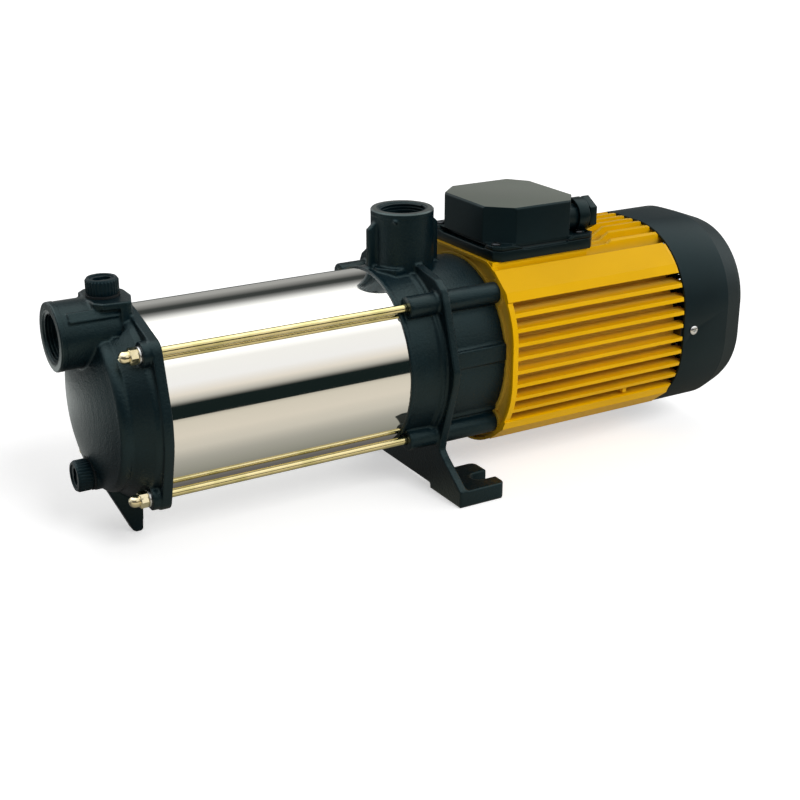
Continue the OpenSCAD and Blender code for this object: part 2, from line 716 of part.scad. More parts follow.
// Rotor and stator
module rotor_core() {
    r = stator_bore / 2 - air_gap;
    color("#9a9a9a") difference() {
        union() {
            along(x_rotor, stator_len, r);
            sleeve_ring(x_rotor - 5, stator_len + 10, r - 3, r - 12);
        }
        along(x_rotor - 1, stator_len + 2, rotor_shaft_d / 2 + snug);
    }
}
slot_depth = 13;
module stator_core() {
    color("#6d6f72") difference() {
        along(x_rotor, stator_len, stator_d / 2);
        along(x_rotor - 1, stator_len + 2, stator_bore / 2);
        across(x_rotor - 1, stator_len + 2) for (k = [0 : 23]) rotate(k * 15)
            translate([stator_bore / 2 + 2, -2.4]) square([slot_depth, 4.8]);
    }
}
module stator_windings() {
    overhang = 15;
    r0 = stator_bore / 2 + 3;
    r1 = stator_bore / 2 + 2 + slot_depth - 0.2;
    color("#b8652a") {
        across(x_rotor - 1, stator_len + 2) for (k = [0 : 23]) rotate(k * 15)
            translate([stator_bore / 2 + 2.4, -2.2]) square([slot_depth - 0.6, 4.4]);
        for (x = [x_rotor - overhang, x_rotor + stator_len + 0.6])
            turned([
                [r0, x + 2], [r0 + 2, x], [r1 + 4, x], [r1 + 6, x + 3],
                [r1 + 5, x + overhang - 2.6], [r1, x + overhang - 0.6], [r0, x + overhang - 0.6]
            ]);
    }
}

// Motor housing: a frame tube with fins inside a soft square, and four smooth shoulders
module soft_square(half, corner) {
    in = half - corner;
    square([2 * in, 2 * half], center = true);
    square([2 * half, 2 * in], center = true);
    for (sx = [-1, 1]) for (sy = [-1, 1]) translate([sx * in, sy * in]) circle(r = corner, $fn = 96);
}
shoulder_in = motor_half - 27.5;
shoulder_lo = shoulder_in - 2.5;
module motor_section() {
    circle(d = frame_d, $fn = 128);
    intersection() {
        soft_square(motor_half, motor_corner);
        for (side = [0 : 3]) rotate(side * 90) for (i = [0 : fin_count - 1])
            translate([40, (i - (fin_count - 1) / 2) * fin_pitch])
                polygon([
                    [0, -fin_tip], [motor_half, -fin_tip / 2],
                    [motor_half, fin_tip / 2], [0, fin_tip]
                ]);
    }
    for (sx = [-1, 1]) for (sy = [-1, 1]) scale([sx, sy]) polygon([
        [shoulder_in, shoulder_lo], [shoulder_in, motor_half - 9.8], [motor_half - 11.2, motor_half - 22.7],
        [motor_half - 8.2, shoulder_lo + 0.8], [motor_half - 10, shoulder_lo]
    ]);
}
box_z = 70;
box_x = x_motor;
wire_y = -12;
fin_tuck = 5;
module motor_housing() {
    color(YELLOW) difference() {
        union() {
            across(x_motor + eps, housing_len - 2.5) motor_section();
            fin_ends();
            across(x_motor, motor_flange_t) soft_square(motor_half, motor_corner);
            // Flat seat of the terminal box
            translate([box_x + 1, -box_w / 2 + 2, axis_h + 40]) cube([box_len - 3, box_w - 4, box_z - 40]);
        }
        // Fins are cut down in front of the terminal box and rise again on a slope
        side_web(2 * shoulder_in - 0.4) polygon([
            [x_motor + motor_flange_t, box_z], [box_x + box_len + 2, box_z],
            [box_x + box_len + 13, motor_half + 1], [box_x + box_len + 13, motor_half + 20],
            [x_motor - 10, motor_half + 20], [x_motor - 10, box_z]
        ]);
        // Bore for the stator, wire hole and screw holes
        along(x_motor - 1, housing_len + 2, stator_d / 2 + snug);
        translate([box_x + box_len / 2, wire_y, axis_h]) cylinder(r = 9, h = 90);
        at_rods() along(x_motor - 1, motor_flange_t + 10, flange_bolt_d / 2 + fit_gap);
        box_screw_places() translate([0, 0, box_z - 9]) cylinder(d = 3, h = 12);
    }
}
// The ends of the fins are stepped down and reach in under the fan cover
module fin_ends() {
    inset = fan_cover_wall + 0.6;
    difference() {
        intersection() {
            across(x_frame_end - 2.5, 2.5 + fin_tuck) motor_section();
            soft_solid([
                [x_frame_end - 3, 0.1], [x_frame_end - 2.2, 0.2], [x_frame_end + 0.8, inset],
                [x_frame_end + fin_tuck + 1, inset]
            ], 0);
        }
        along(x_frame_end, 20, frame_d / 2 + 0.6);
        translate([x_frame_end, -100, axis_h - lug_w / 2 - 0.6]) cube([20, 200, lug_w + 1.2]);
    }
}
flange_bolt_d = 6;
module flange_bolts() {
    color(STEEL) at_rods() along(x_motor - 16, motor_flange_t + 16 + 8, flange_bolt_d / 2);
}

// Rear end shield with the rear bearing and two lugs for the fan cover
shield_t = 5;
lug_w = 12;
cover_x = x_frame_end + 1.5;
cover_screw_x = cover_x + 9.5;
module rear_shield() {
    color("#b9bcbd") difference() {
        union() {
            along(x_frame_end, shield_t, frame_d / 2 - 1);
            along(x_frame_end - 6, 7, stator_d / 2 - fit_gap);
            along(x_rear_bearing - 2, 18, rear_bearing_od / 2 + 5);
            for (s = [-1, 1]) translate([x_frame_end, s > 0 ? 50 : -cover_in, axis_h - lug_w / 2])
                cube([cover_screw_x + 6 - x_frame_end, cover_in - 50, lug_w]);
        }
        along(x_rear_bearing - 3, rear_bearing_w + 3, rear_bearing_od / 2 + fit_gap);
        along(x_frame_end - 10, 40, 12);
        sleeve_ring(x_frame_end - 7, 7, stator_d / 2 - 6, rear_bearing_od / 2 + 5);
        along(x_fan - 2, 40, fan_d / 2 + 2.5);
        for (s = [-1, 1]) translate([cover_screw_x, s * (cover_in + 1), axis_h]) rotate([s * 90, 0, 0])
            cylinder(d = cover_screw_d + fit_gap, h = 14);
    }
}
cover_in = motor_half - fan_cover_wall - fit_gap;
cover_screw_d = 4;

// Fan with radial blades
module fan() {
    color(NORYL) difference() {
        union() {
            along(x_fan, fan_hub_len, 13);
            along(x_fan, 2, fan_d / 2 - 8);
            for (k = [0 : fan_blades - 1]) translate([x_fan, 0, axis_h])
                rotate([k * 360 / fan_blades, 0, 0])
                    translate([0, -1, 10]) cube([fan_hub_len - 2, 2, fan_d / 2 - 10]);
        }
        along(x_fan - 1, fan_hub_len + 2, 7 + snug);
    }
}

// Fan cover: a soft square shell that narrows to a round-cornered grille
x_narrow = cover_x + fan_straight;
x_cover_end = cover_x + fan_cover_len;
end_len = fan_cover_len - fan_straight;
// A soft square solid from a list of [x, inset]: four turned corners and two slabs between them
module soft_solid(steps, wall) {
    in = motor_half - motor_corner;
    side = [for (p = steps) [p[0], motor_half - wall - p[1]]];
    back = [for (k = [len(side) - 1 : -1 : 0]) [side[k][0], -side[k][1]]];
    corner = [for (p = side) [p[1] - in, p[0]]];
    for (sy = [-1, 1]) for (sz = [-1, 1]) translate([0, sy * in, sz * in])
        turned(concat([[0, steps[0][0]]], corner, [[0, steps[len(steps) - 1][0]]]));
    side_web(2 * in) polygon(concat(side, back));
    translate([0, 0, axis_h - in]) linear_extrude(2 * in) polygon(concat(side, back));
}
function narrowing(len) = [for (k = [0 : 6]) [x_narrow + len * sin(15 * k), fan_taper * (1 - cos(15 * k))]];
grille_r = motor_half - fan_taper - 3;
module fan_cover() {
    color(BLACK) {
        difference() {
            soft_solid(concat([[cover_x, 0]], narrowing(end_len)), 0);
            soft_solid(concat([[cover_x - 1, 0]], narrowing(end_len - fan_cover_wall)), fan_cover_wall);
            along(x_cover_end - 20, 30, grille_r);
            cover_screw_places(1) cylinder(d = cover_screw_d + 0.4, h = 8);
        }
        across(x_cover_end - 2.4, 2.4) grille();
    }
}
// Rings joined by spokes
module grille() {
    ring_w = 3;
    ring_step = 8.5;
    for (r = [grille_r + 0.6 : -ring_step : 10]) difference() {
        circle(r = r);
        circle(r = r - ring_w);
    }
    circle(r = 12);
    for (k = [0 : 7]) rotate(k * 45) translate([8, -1.5]) square([grille_r - 8, 3]);
}
// One screw on each side, looking inwards from a little outside the cover
module cover_screw_places(out) {
    for (s = [-1, 1]) translate([cover_screw_x, s * (motor_half + out), axis_h]) rotate([s * 90, 0, 0])
        children();
}
module fan_cover_screws() {
    color(STEEL) cover_screw_places(0) {
        translate([0, 0, -2.2]) cylinder(d1 = 6.4, d2 = 8, h = 2.2);
        cylinder(d = cover_screw_d, h = 12);
    }
}

// Terminal box on the motor
box_cx = box_x + box_len / 2;
gasket_t = 0.8;
hood_len = box_len - 2 * hood_end_ledge;
hood_w = box_w - 2 * hood_side_ledge;
hood_flange_t = 2.5;
z_gasket = axis_h + box_z + box_base_h - hood_flange_t - gasket_t;
module cut_square(l, w, cut) {
    polygon([
        [-l / 2 + cut, -w / 2], [l / 2 - cut, -w / 2], [l / 2, -w / 2 + cut], [l / 2, w / 2 - cut],
        [l / 2 - cut, w / 2], [-l / 2 + cut, w / 2], [-l / 2, w / 2 - cut], [-l / 2, -w / 2 + cut]
    ]);
}
module box_screw_places() {
    for (sx = [-1, 1]) for (sy = [-1, 1])
        translate([box_cx + sx * (box_len / 2 - 4.8), sy * (box_w / 2 - 8.5), axis_h]) children();
}
hood_wall = 2.4;
// The hood seen from one side, with its top edges cut
module roof(c, half, top) {
    polygon([
        [c - half, box_z], [c + half, box_z], [c + half, top - 1.2],
        [c + half - 1.2, top], [c - half + 1.2, top], [c - half, top - 1.2]
    ]);
}
module terminal_box_base() {
    color(BLACK) difference() {
        translate([box_cx, 0, axis_h + box_z]) linear_extrude(z_gasket - axis_h - box_z)
            cut_square(box_len, box_w, 5);
        translate([box_cx, 0, axis_h + box_z + 3]) linear_extrude(box_base_h)
            cut_square(hood_len - 2 * hood_wall, hood_w - 2 * hood_wall, hood_cut);
        translate([box_cx, wire_y, axis_h]) cylinder(r = 9, h = 90);
        box_screw_places() cylinder(d = 4.2, h = 100);
    }
}
module terminal_box_gasket() {
    color(RUBBER) difference() {
        translate([box_cx, 0, z_gasket]) linear_extrude(gasket_t) cut_square(box_len - 2, box_w - 2, 5);
        translate([box_cx, 0, z_gasket - 1]) linear_extrude(gasket_t + 2)
            cut_square(hood_len - 2 * hood_wall, hood_w - 2 * hood_wall, hood_cut);
        box_screw_places() cylinder(d = 4.2, h = 100);
    }
}
gland_y = -27;
gland_z = box_z + box_base_h + 11;
x_gland = box_cx + hood_len / 2 + 3;
gland_body_d = 20;
module terminal_box_cover() {
    z_flange = z_gasket + gasket_t;
    z_top = axis_h + box_z + box_base_h + hood_h;
    color(BLACK) difference() {
        union() {
            translate([box_cx, 0, z_flange]) linear_extrude(hood_flange_t) cut_square(box_len, box_w, 5);
            intersection() {
                translate([box_cx, 0, z_flange]) linear_extrude(z_top - z_flange)
                    cut_square(hood_len, hood_w, hood_cut);
                side_web(hood_w + 2) roof(box_cx, hood_len / 2, z_top - axis_h);
                across(box_cx - hood_len, 2 * hood_len) roof(0, hood_w / 2, z_top - axis_h);
            }
            along(x_gland - 18, 18, gland_body_d / 2 + 1, [gland_y, gland_z]);
        }
        translate([box_cx, 0, z_flange - 1]) linear_extrude(z_top - z_flange + 1 - hood_wall)
            cut_square(hood_len - 2 * hood_wall, hood_w - 2 * hood_wall, hood_cut);
        along(x_gland - 30, 40, gland_thread_d / 2 + fit_gap, [gland_y, gland_z]);
        box_screw_places() cylinder(d = 4.2, h = 100);
    }
}
module terminal_cover_screws() {
    color(STEEL) box_screw_places() {
        translate([0, 0, box_z - 8]) cylinder(d = 3, h = box_base_h + 8);
        translate([0, 0, box_z + box_base_h]) cylinder(d1 = 7.4, d2 = 6.2, h = 2);
    }
}
module terminal_block() {
    z0 = axis_h + box_z + 3;
    color("#d9d4c4") difference() {
        translate([box_cx - 24, 4, z0]) cube([48, 24, 9]);
        for (i = [-1 : 1]) for (j = [0, 1])
            translate([box_cx + i * 15, 10 + j * 12, z0 + 3]) cylinder(d = 4 + 2 * fit_gap, h = 9);
    }
}
module terminal_studs() {
    z0 = axis_h + box_z + 3;
    color("#c8a64b") for (i = [-1 : 1]) for (j = [0, 1])
        translate([box_cx + i * 15, 10 + j * 12, z0 + 3]) {
            cylinder(d = 4, h = 13);
            translate([0, 0, 6.1]) cylinder(d = 7 / cos(30), h = 3, $fn = 6);
        }
}
gland_thread_d = 16;
gland_collar = 4;
module gland_body() {
    at = [gland_y, gland_z];
    color(NORYL) difference() {
        union() {
            along(x_gland - 10, 24, gland_thread_d / 2, at);
            along(x_gland, gland_collar, gland_body_d / 2 + 0.6, at);
        }
        along(x_gland - 11, 40, gland_bore / 2 + 0.6, at);
        along(x_gland + gland_collar, 40, gland_bore / 2 + 0.6, at);
    }
}
module gland_seal() {
    color(RUBBER) sleeve_ring(x_gland + 2, 11, gland_bore / 2 + 0.5, 3, [gland_y, gland_z]);
}
module gland_nut() {
    at = [gland_y, gland_z];
    x0 = x_gland + gland_collar + 0.3;
    color(BLACK) difference() {
        union() {
            translate([x0, at[0], axis_h + at[1]]) rotate([0, 90, 0])
                cylinder(d = gland_flats / cos(30), h = 10, $fn = 6);
            along(x0, 13, gland_flats / 2 - 1.2, at);
        }
        along(x0 - 1, 11, gland_thread_d / 2 + fit_gap, at);
        along(x0, 20, gland_bore / 2, at);
    }
}

suction_cover();
priming_plug();
priming_plug_ring();
drain_plug();
drain_plug_ring();
outer_sleeve();
sleeve_ring_front();
sleeve_ring_rear();
tie_rods();
cap_nuts();
rod_washers();
discharge_bracket();
seal_seat();
seal_seat_ring();
seal_head();
seal_spring();
inlet_ring();
stage_casing(1);  // stage_casing_1
stage_casing(2);  // stage_casing_2
stage_casing(3);  // stage_casing_3
stage_casing(4);  // stage_casing_4
stage_casing(5);  // stage_casing_5
diffuser(1);  // diffuser_1
diffuser(2);  // diffuser_2
diffuser(3);  // diffuser_3
diffuser(4);  // diffuser_4
diffuser(5);  // diffuser_5
impeller(1);  // impeller_1
impeller(2);  // impeller_2
impeller(3);  // impeller_3
impeller(4);  // impeller_4
impeller(5);  // impeller_5
impeller_spacers();
impeller_nut();
shaft();
rotor_core();
stator_core();
stator_windings();
front_bearing_outer();
front_bearing_inner();
front_bearing_balls();
rear_bearing_outer();
rear_bearing_inner();
rear_bearing_balls();
motor_housing();
flange_bolts();
rear_shield();
fan();
fan_cover();
fan_cover_screws();
terminal_box_base();
terminal_box_gasket();
terminal_box_cover();
terminal_cover_screws();
terminal_block();
terminal_studs();
gland_body();
gland_seal();
gland_nut();
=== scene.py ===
"""Studio picture of a horizontal multistage pump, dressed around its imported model."""
import json
import math

import bmesh
import bpy
from mathutils import Matrix, Vector


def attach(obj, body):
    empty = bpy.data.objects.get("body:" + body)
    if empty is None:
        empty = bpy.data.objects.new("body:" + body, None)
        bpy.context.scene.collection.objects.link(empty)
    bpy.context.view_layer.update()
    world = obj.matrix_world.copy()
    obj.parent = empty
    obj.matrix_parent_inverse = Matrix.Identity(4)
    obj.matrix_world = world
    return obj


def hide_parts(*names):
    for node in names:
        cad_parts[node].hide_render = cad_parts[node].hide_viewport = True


MM = 0.001
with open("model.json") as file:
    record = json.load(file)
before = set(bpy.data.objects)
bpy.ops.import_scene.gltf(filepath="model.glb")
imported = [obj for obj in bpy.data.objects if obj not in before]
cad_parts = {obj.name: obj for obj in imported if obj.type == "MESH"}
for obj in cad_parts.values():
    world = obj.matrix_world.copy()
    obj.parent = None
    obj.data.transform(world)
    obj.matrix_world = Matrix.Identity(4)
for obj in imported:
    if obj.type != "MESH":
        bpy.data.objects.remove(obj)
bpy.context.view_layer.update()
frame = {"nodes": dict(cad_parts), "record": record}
nodes = frame["nodes"]

# ---------------------------------------------------------------- sizes
AXIS = 95
AXIS_Z = AXIS * MM
SLEEVE_R = 65.5 * MM
ROD_CIRCLE_R = 70.3 * MM
X_COVER = -235 * MM
X_LIP = -57 * MM
SUCTION = Vector((-289, 0, 149)) * MM
DISCHARGE = Vector((-26, 0, 203)) * MM
THREAD_CREST_R = 15.15 * MM
THREAD_ROOT_R = 16.63 * MM
THREAD_PITCH = 2.309 * MM
THREAD_TURNS = 8
UP = Vector((0, 0, 1))
WEST = Vector((-1, 0, 0))

# The soft square of the motor, in millimetres: half its width, its corner radius and half of what is flat
MOTOR_HALF = 75.2
MOTOR_CORNER = 62.7
MOTOR_FLAT = MOTOR_HALF - MOTOR_CORNER
# Radius of the four bosses on the motor's flange, and where the fan cover starts to narrow, in millimetres
FLANGE_BOSS_R = 8.0
CREASE_X = 226

# Points nearer than this become one
WELD = 2e-6
# Triangles that a casting may have
CAST_FACES = 190000
# Outputs of the texture coordinate node
NORMAL, OBJECT = 1, 3


# ---------------------------------------------------------------- shader maths
class Value:
    """One socket of a node tree, with the arithmetic that the finishes use."""

    def __init__(self, tree, socket):
        self.tree = tree
        self.socket = socket

    def _math(self, operation, other):
        return self.tree.node("ShaderNodeMath", {"operation": operation}, self, other)

    def __add__(self, other):
        return self._math("ADD", other)

    def __sub__(self, other):
        return self._math("SUBTRACT", other)

    def __mul__(self, other):
        return self._math("MULTIPLY", other)

    def __truediv__(self, other):
        return self._math("DIVIDE", other)

    def power(self, other):
        return self._math("POWER", other)


class Tree:
    """A shader tree that is written as expressions."""

    def __init__(self, tree):
        self.nodes = tree.nodes
        self.links = tree.links

    def feed(self, socket, value):
        """Links a value to a socket, or writes it there when it is a plain number or colour."""
        if isinstance(value, Value):
            self.links.new(value.socket, socket)
        elif isinstance(value, (tuple, list)) and len(value) == 3 and len(socket.default_value) == 4:
            socket.default_value = (*value, 1)
        else:
            socket.default_value = value

    def node(self, kind, settings=None, *inputs, out=0, **named):
        """Adds a node: its settings first, then its inputs by place or by name."""
        made = self.nodes.new(kind)
        for key, setting in (settings or {}).items():
            if key == "stops":
                ramp = made.color_ramp
                while len(ramp.elements) < len(setting):
                    ramp.elements.new(0.5)
                for element, (place, colour) in zip(ramp.elements, setting):
                    element.position = place
                    element.color = (*colour, 1)
            else:
                setattr(made, key, setting)
        for i, value in enumerate(inputs):
            self.feed(made.inputs[i], value)
        for name, value in named.items():
            self.feed(made.inputs[name.replace("_", " ")], value)
        return Value(self, made.outputs[out])

    def mix(self, factor, a, b):
        """Mixes two colours."""
        made = self.nodes.new("ShaderNodeMix")
        made.data_type = "RGBA"
        for socket, value in zip((made.inputs[0], made.inputs[6], made.inputs[7]), (factor, a, b)):
            self.feed(socket, value)
        return Value(self, made.outputs[2])

    def band(self, value, low, high, start=0.0, end=1.0):
        """Runs smoothly from start to end as value goes from low to high."""
        return self.node("ShaderNodeMapRange", {"interpolation_type": "SMOOTHSTEP"}, value, low, high, start, end)

    def axes(self, vector):
        """The three parts of a vector."""
        split = self.nodes.new("ShaderNodeSeparateXYZ")
        self.feed(split.inputs[0], vector)
        return [Value(self, part) for part in split.outputs]

    def grey(self, value):
        return self.node("ShaderNodeCombineColor", None, value, value, value)


class Finish(Tree):
    """A material with one Principled shader."""

    def __init__(self, name, colour, roughness, metallic=0.0):
        self.material = bpy.data.materials.new(name)
        self.material.use_nodes = True
        super().__init__(self.material.node_tree)
        self.shader = self.nodes["Principled BSDF"]
        self.place = self.node("ShaderNodeTexCoord", out=OBJECT)
        self.set(Base_Color=colour, Roughness=roughness, Metallic=metallic)

    def set(self, **named):
        for name, value in named.items():
            self.feed(self.shader.inputs[name.replace("_", " ")], value)

    def noise(self, scale, detail=2.0, roughness=0.5, stretch=(1, 1, 1)):
        """Noise on the object's own coordinates, in cells per metre; stretch multiplies the scale on each axis."""
        place = self.place
        if stretch != (1, 1, 1):
            place = self.node("ShaderNodeMapping", None, Vector=place, Scale=stretch)
        return self.node("ShaderNodeTexNoise", None, Vector=place, Scale=scale, Detail=detail, Roughness=roughness)

    def bump(self, height, depth, strength=1.0, soften=0.0):
        """Raises the surface by depth metres where height is 1. soften rounds the edges to that radius."""
        normal = {}
        if soften:
            normal["Normal"] = self.node("ShaderNodeBevel", {"samples": 4}, Radius=soften)
        self.set(Normal=self.node("ShaderNodeBump", None, Height=height, Distance=depth, Strength=strength, **normal))


# ---------------------------------------------------------------- finishes
def painted_casting(name, colour, rough, grain=0.0005, soften=0.0008, specular=0.36):
    """Paint over a sand casting: soft orange peel over a coarser grain."""
    f = Finish(name, colour, rough)
    f.set(Specular_IOR_Level=specular, Specular_Tint=(0.7, 1.0, 1.0))
    coarse = f.noise(480, 3)
    fine = f.noise(1000, 2)
    cloud = f.noise(22, 3)
    f.set(Base_Color=f.mix(f.band(cloud, 0.3, 0.7), [c * 0.8 for c in colour], [min(1, c * 1.25) for c in colour]))
    f.set(Roughness=cloud * 0.12 + (rough - 0.06) + fine * 0.04)
    f.bump(coarse * 0.45 + fine * 0.55, grain, 0.8, soften)
    return f.material


def yellow_paint():
    """Glossy enamel over an aluminium die casting. Nearer the shaft, in the fin channels and the flange's groove, it
    carries painted shade, a darker brown, and is a little duller.
    """
    f = Finish("yellow_enamel", (0.82, 0.46, 0.0), 0.34)
    f.set(Specular_IOR_Level=0.3, Specular_Tint=(1.0, 0.8, 0.2))
    cloud = f.noise(18, 3)
    fine = f.noise(700, 2)
    _, across, up = f.axes(f.place)
    height = up - AXIS_Z
    # Distance from the shaft, measured so that its contours are soft squares like the motor
    reach = ((across * across).power(1.5) + (height * height).power(1.5)).power(1 / 3)
    outer = f.band(reach, 64 * MM, 72 * MM)
    unshaded_yellow = f.mix(f.band(cloud, 0.3, 0.75), (0.76, 0.41, 0.0), (0.82, 0.45, 0.0))
    # Painted shade: nearer the shaft, in the fin channels and the flange's groove, the yellow turns a dark brown
    f.set(Base_Color=f.mix(outer, (0.66, 0.42, 0.05), unshaded_yellow))
    f.set(Roughness=cloud * 0.1 + 0.42 + fine * 0.05 - outer * 0.18)
    f.bump(f.noise(300, 2) * 0.6 + fine * 0.4, 0.00007, 0.5, 0.0007)
    return f.material


def polished_steel():
    """Mirror-polished tube: fine hoop lines and the slight waviness of rolled sheet."""
    f = Finish("mirror_steel", (0.93, 0.925, 0.91), 0.05, metallic=1.0)
    hoops = f.noise(1.0, 2, 0.6, (1400, 30, 30))
    waves = f.noise(1.0, 1, 0.4, (5, 14, 14))
    smears = f.noise(1.0, 3, 0.6, (16, 60, 60))
    f.set(Roughness=f.band(smears, 0.35, 0.8) * 0.04 + 0.035)
    f.bump(hoops * 0.02 + waves, 0.0005, 0.25)
    return f.material


def metal(name, colour, rough, grain=900, tint=None, soften=0.0003):
    """Bare or plated metal with a fine grain; tint is the colour of its cloudy patches."""
    f = Finish(name, colour, rough, metallic=1.0)
    cloud = f.noise(70, 3)
    fine = f.noise(grain, 2)
    f.set(Base_Color=f.mix(f.band(cloud, 0.38, 0.68), colour, tint or [c * 0.82 for c in colour]))
    f.set(Roughness=fine * 0.12 + (rough - 0.06))
    f.bump(fine, 0.00004, 0.4, soften)
    return f.material


def moulded(name, colour, rough, grain=1800, depth=0.00005, soften=0.0006):
    """Moulded plastic or rubber with a spark-eroded grain."""
    f = Finish(name, colour, rough)
    f.set(Specular_IOR_Level=0.3, Specular_Tint=(0.65, 0.97, 1.0))
    fine = f.noise(grain, 2)
    cloud = f.noise(30, 3)
    f.set(Base_Color=f.mix(f.band(cloud, 0.3, 0.7), [c * 0.88 for c in colour], [min(1, c * 1.12) for c in colour]))
    f.set(Roughness=fine * 0.14 + (rough - 0.08) + cloud * 0.04)
    f.bump(fine, depth, 0.6, soften)
    return f.material


def lid_plastic_painted_sheen():
    """The box's black plastic, with a painted sheen: the flat top of its lid is painted a light matt grey."""
    material = moulded("lid_plastic_painted_sheen", BOX_BLACK, 0.42, 1500, 0.00006, 0.001)
    f = Tree(material.node_tree)
    shader = f.nodes["Principled BSDF"]
    height = f.axes(f.node("ShaderNodeTexCoord", out=OBJECT))[2]
    level = f.axes(f.node("ShaderNodeTexCoord", out=NORMAL))[2]
    # Painted sheen: where the lid's top faces up, its black is mixed to a light grey
    high = f.node("ShaderNodeMapRange", None, height, 194 * MM, 199 * MM, 0.0, 1.0)
    up = f.node("ShaderNodeMapRange", None, level, 0.9, 0.97, 0.0, 1.0)
    black = Value(f, shader.inputs["Base Color"].links[0].from_socket)
    f.feed(shader.inputs["Base Color"], f.mix(high * up, black, (0.135, 0.147, 0.126)))
    return material


BLACK = (0.0014, 0.0070, 0.0102)
BOX_BLACK = (0.0006, 0.0042, 0.0058)
cast_black = painted_casting("black_casting_paint", BLACK, 0.33)
machined = painted_casting("machined_face", (0.03, 0.034, 0.034), 0.3, 0.00004, 0.0002, 0.9)
cover_plastic = moulded("fan_cover_plastic", (0.004, 0.0085, 0.0112), 0.44, 1500, 0.00008)
box_plastic = moulded("terminal_box_plastic", BOX_BLACK, 0.36, 1500, 0.00006, 0.001)
lid_with_painted_sheen = lid_plastic_painted_sheen()
plug_plastic = moulded("plug_plastic", (0.0008, 0.006, 0.0095), 0.4, 1600, 0.00005, 0.0004)
mirror_steel = polished_steel()
zinc_yellow = metal("yellow_zinc", (0.92, 0.8, 0.44), 0.13, 700, (0.72, 0.65, 0.3))
nut_zinc = metal("nut_zinc", (0.95, 0.85, 0.58), 0.14, 700, (0.8, 0.7, 0.42))
black_zinc = metal("black_zinc", (0.05, 0.055, 0.06), 0.3)
bright_steel = metal("bright_steel", (0.78, 0.79, 0.8), 0.24)
yellow_enamel = yellow_paint()
rubber = moulded("black_rubber", (0.01, 0.01, 0.011), 0.6, 900)
# The material of each slot in the record. Pieces that are replaced below get their own
BY_SLOT = {
    "shaft_steel": metal("ground_steel", (0.68, 0.68, 0.69), 0.22),
    "stage_steel": metal("pressed_steel", (0.6, 0.61, 0.62), 0.3),
    "lamination": metal("sheet_stack", (0.3, 0.31, 0.33), 0.5, 400),
    "copper": metal("copper_wire", (0.8, 0.38, 0.16), 0.35, 500),
    "seal_carbon": moulded("carbon", (0.04, 0.04, 0.045), 0.4),
    "seal_ceramic": moulded("ceramic", (0.85, 0.83, 0.78), 0.25),
    "diffuser_plastic": moulded("diffuser_plastic", (0.03, 0.03, 0.033), 0.5),
    "fan_plastic": moulded("fan_plastic", (0.016, 0.017, 0.019), 0.5),
    "block_plastic": moulded("terminal_block_plastic", (0.7, 0.66, 0.56), 0.45),
    "stud_brass": metal("stud_brass", (0.8, 0.62, 0.28), 0.25),
    # The rear shield is dark grey as painted shade, where the fins meet the fan cover
    "shield_aluminium": metal("shield_painted_shade", (0.1, 0.1, 0.1), 0.55, 350),
    "cast_black": cast_black,
    "plug_black": plug_plastic,
    "sleeve_steel": mirror_steel,
    "zinc_yellow": zinc_yellow,
    "bright_steel": bright_steel,
    "rubber_black": rubber,
    "motor_yellow": yellow_enamel,
    "cover_plastic": cover_plastic,
    "box_plastic": box_plastic,
}
for entry in frame["record"]["subparts"]:
    mesh = nodes[entry["node"]].data
    mesh.materials.clear()
    mesh.materials.append(BY_SLOT[entry["material_slot"]])


# ---------------------------------------------------------------- meshes
def new_object(name, bm, material, smooth=None):
    """Makes an object of a bmesh. smooth is the angle, in degrees, up to which its edges look round."""
    mesh = bpy.data.meshes.new(name)
    bm.to_mesh(mesh)
    bm.free()
    mesh.materials.append(material)
    made = bpy.data.objects.new(name, mesh)
    bpy.context.scene.collection.objects.link(made)
    if smooth:
        shade(made, smooth)
    return made


def shade(made, angle):
    made.data.shade_smooth()
    made.data.set_sharp_from_angle(angle=math.radians(angle))
    return made


def bake(made):
    """Applies the modifiers: the object keeps its evaluated mesh and no modifier."""
    bpy.context.view_layer.update()
    evaluated = made.evaluated_get(bpy.context.evaluated_depsgraph_get())
    mesh = bpy.data.meshes.new_from_object(evaluated)
    old = made.data
    made.modifiers.clear()
    made.data = mesh
    if not old.users:
        bpy.data.meshes.remove(old)
    return made


def finish_piece(made, body, slot, *replaced):
    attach(made, body)
    if replaced:
        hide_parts(*replaced)


def node_mesh(node):
    """A welded copy of a CAD node's mesh."""
    bm = bmesh.new()
    bm.from_mesh(nodes[node].data)
    bmesh.ops.remove_doubles(bm, verts=bm.verts, dist=WELD)
    return bm


def hexagon(flats, steps):
    """Radius of a hexagon, given across its flats, in each of the steps round a turn."""
    sixth = math.pi / 3
    return [flats / 2 / math.cos((2 * math.pi * k / steps) % sixth - sixth / 2) for k in range(steps)]


def solid_of_turning(profile, steps=96, origin=(0, 0, AXIS_Z), axis="X", limit=None):
    """Turns a closed [radius, place] profile round an axis through origin, cut by the limit of each step."""
    bm = bmesh.new()
    rings = []
    for k in range(steps):
        a = 2 * math.pi * k / steps
        ring = []
        for r, h in profile:
            if limit:
                r = min(r, limit[k])
            if axis == "X":
                p = (h, r * math.cos(a), r * math.sin(a))
            else:
                p = (r * math.cos(a), r * math.sin(a), h)
            ring.append(bm.verts.new(Vector(p) + Vector(origin)))
        rings.append(ring)
    count = len(profile)
    for k in range(steps):
        one, two = rings[k], rings[(k + 1) % steps]
        for i in range(count):
            j = (i + 1) % count
            bm.faces.new((one[i], two[i], two[j], one[j]))
    bmesh.ops.remove_doubles(bm, verts=bm.verts, dist=1e-7)
    bmesh.ops.recalc_face_normals(bm, faces=bm.faces)
    return bm


def mm(points):
    """Points given in millimetres, in metres."""
    return [(r * MM, h * MM) for r, h in points]


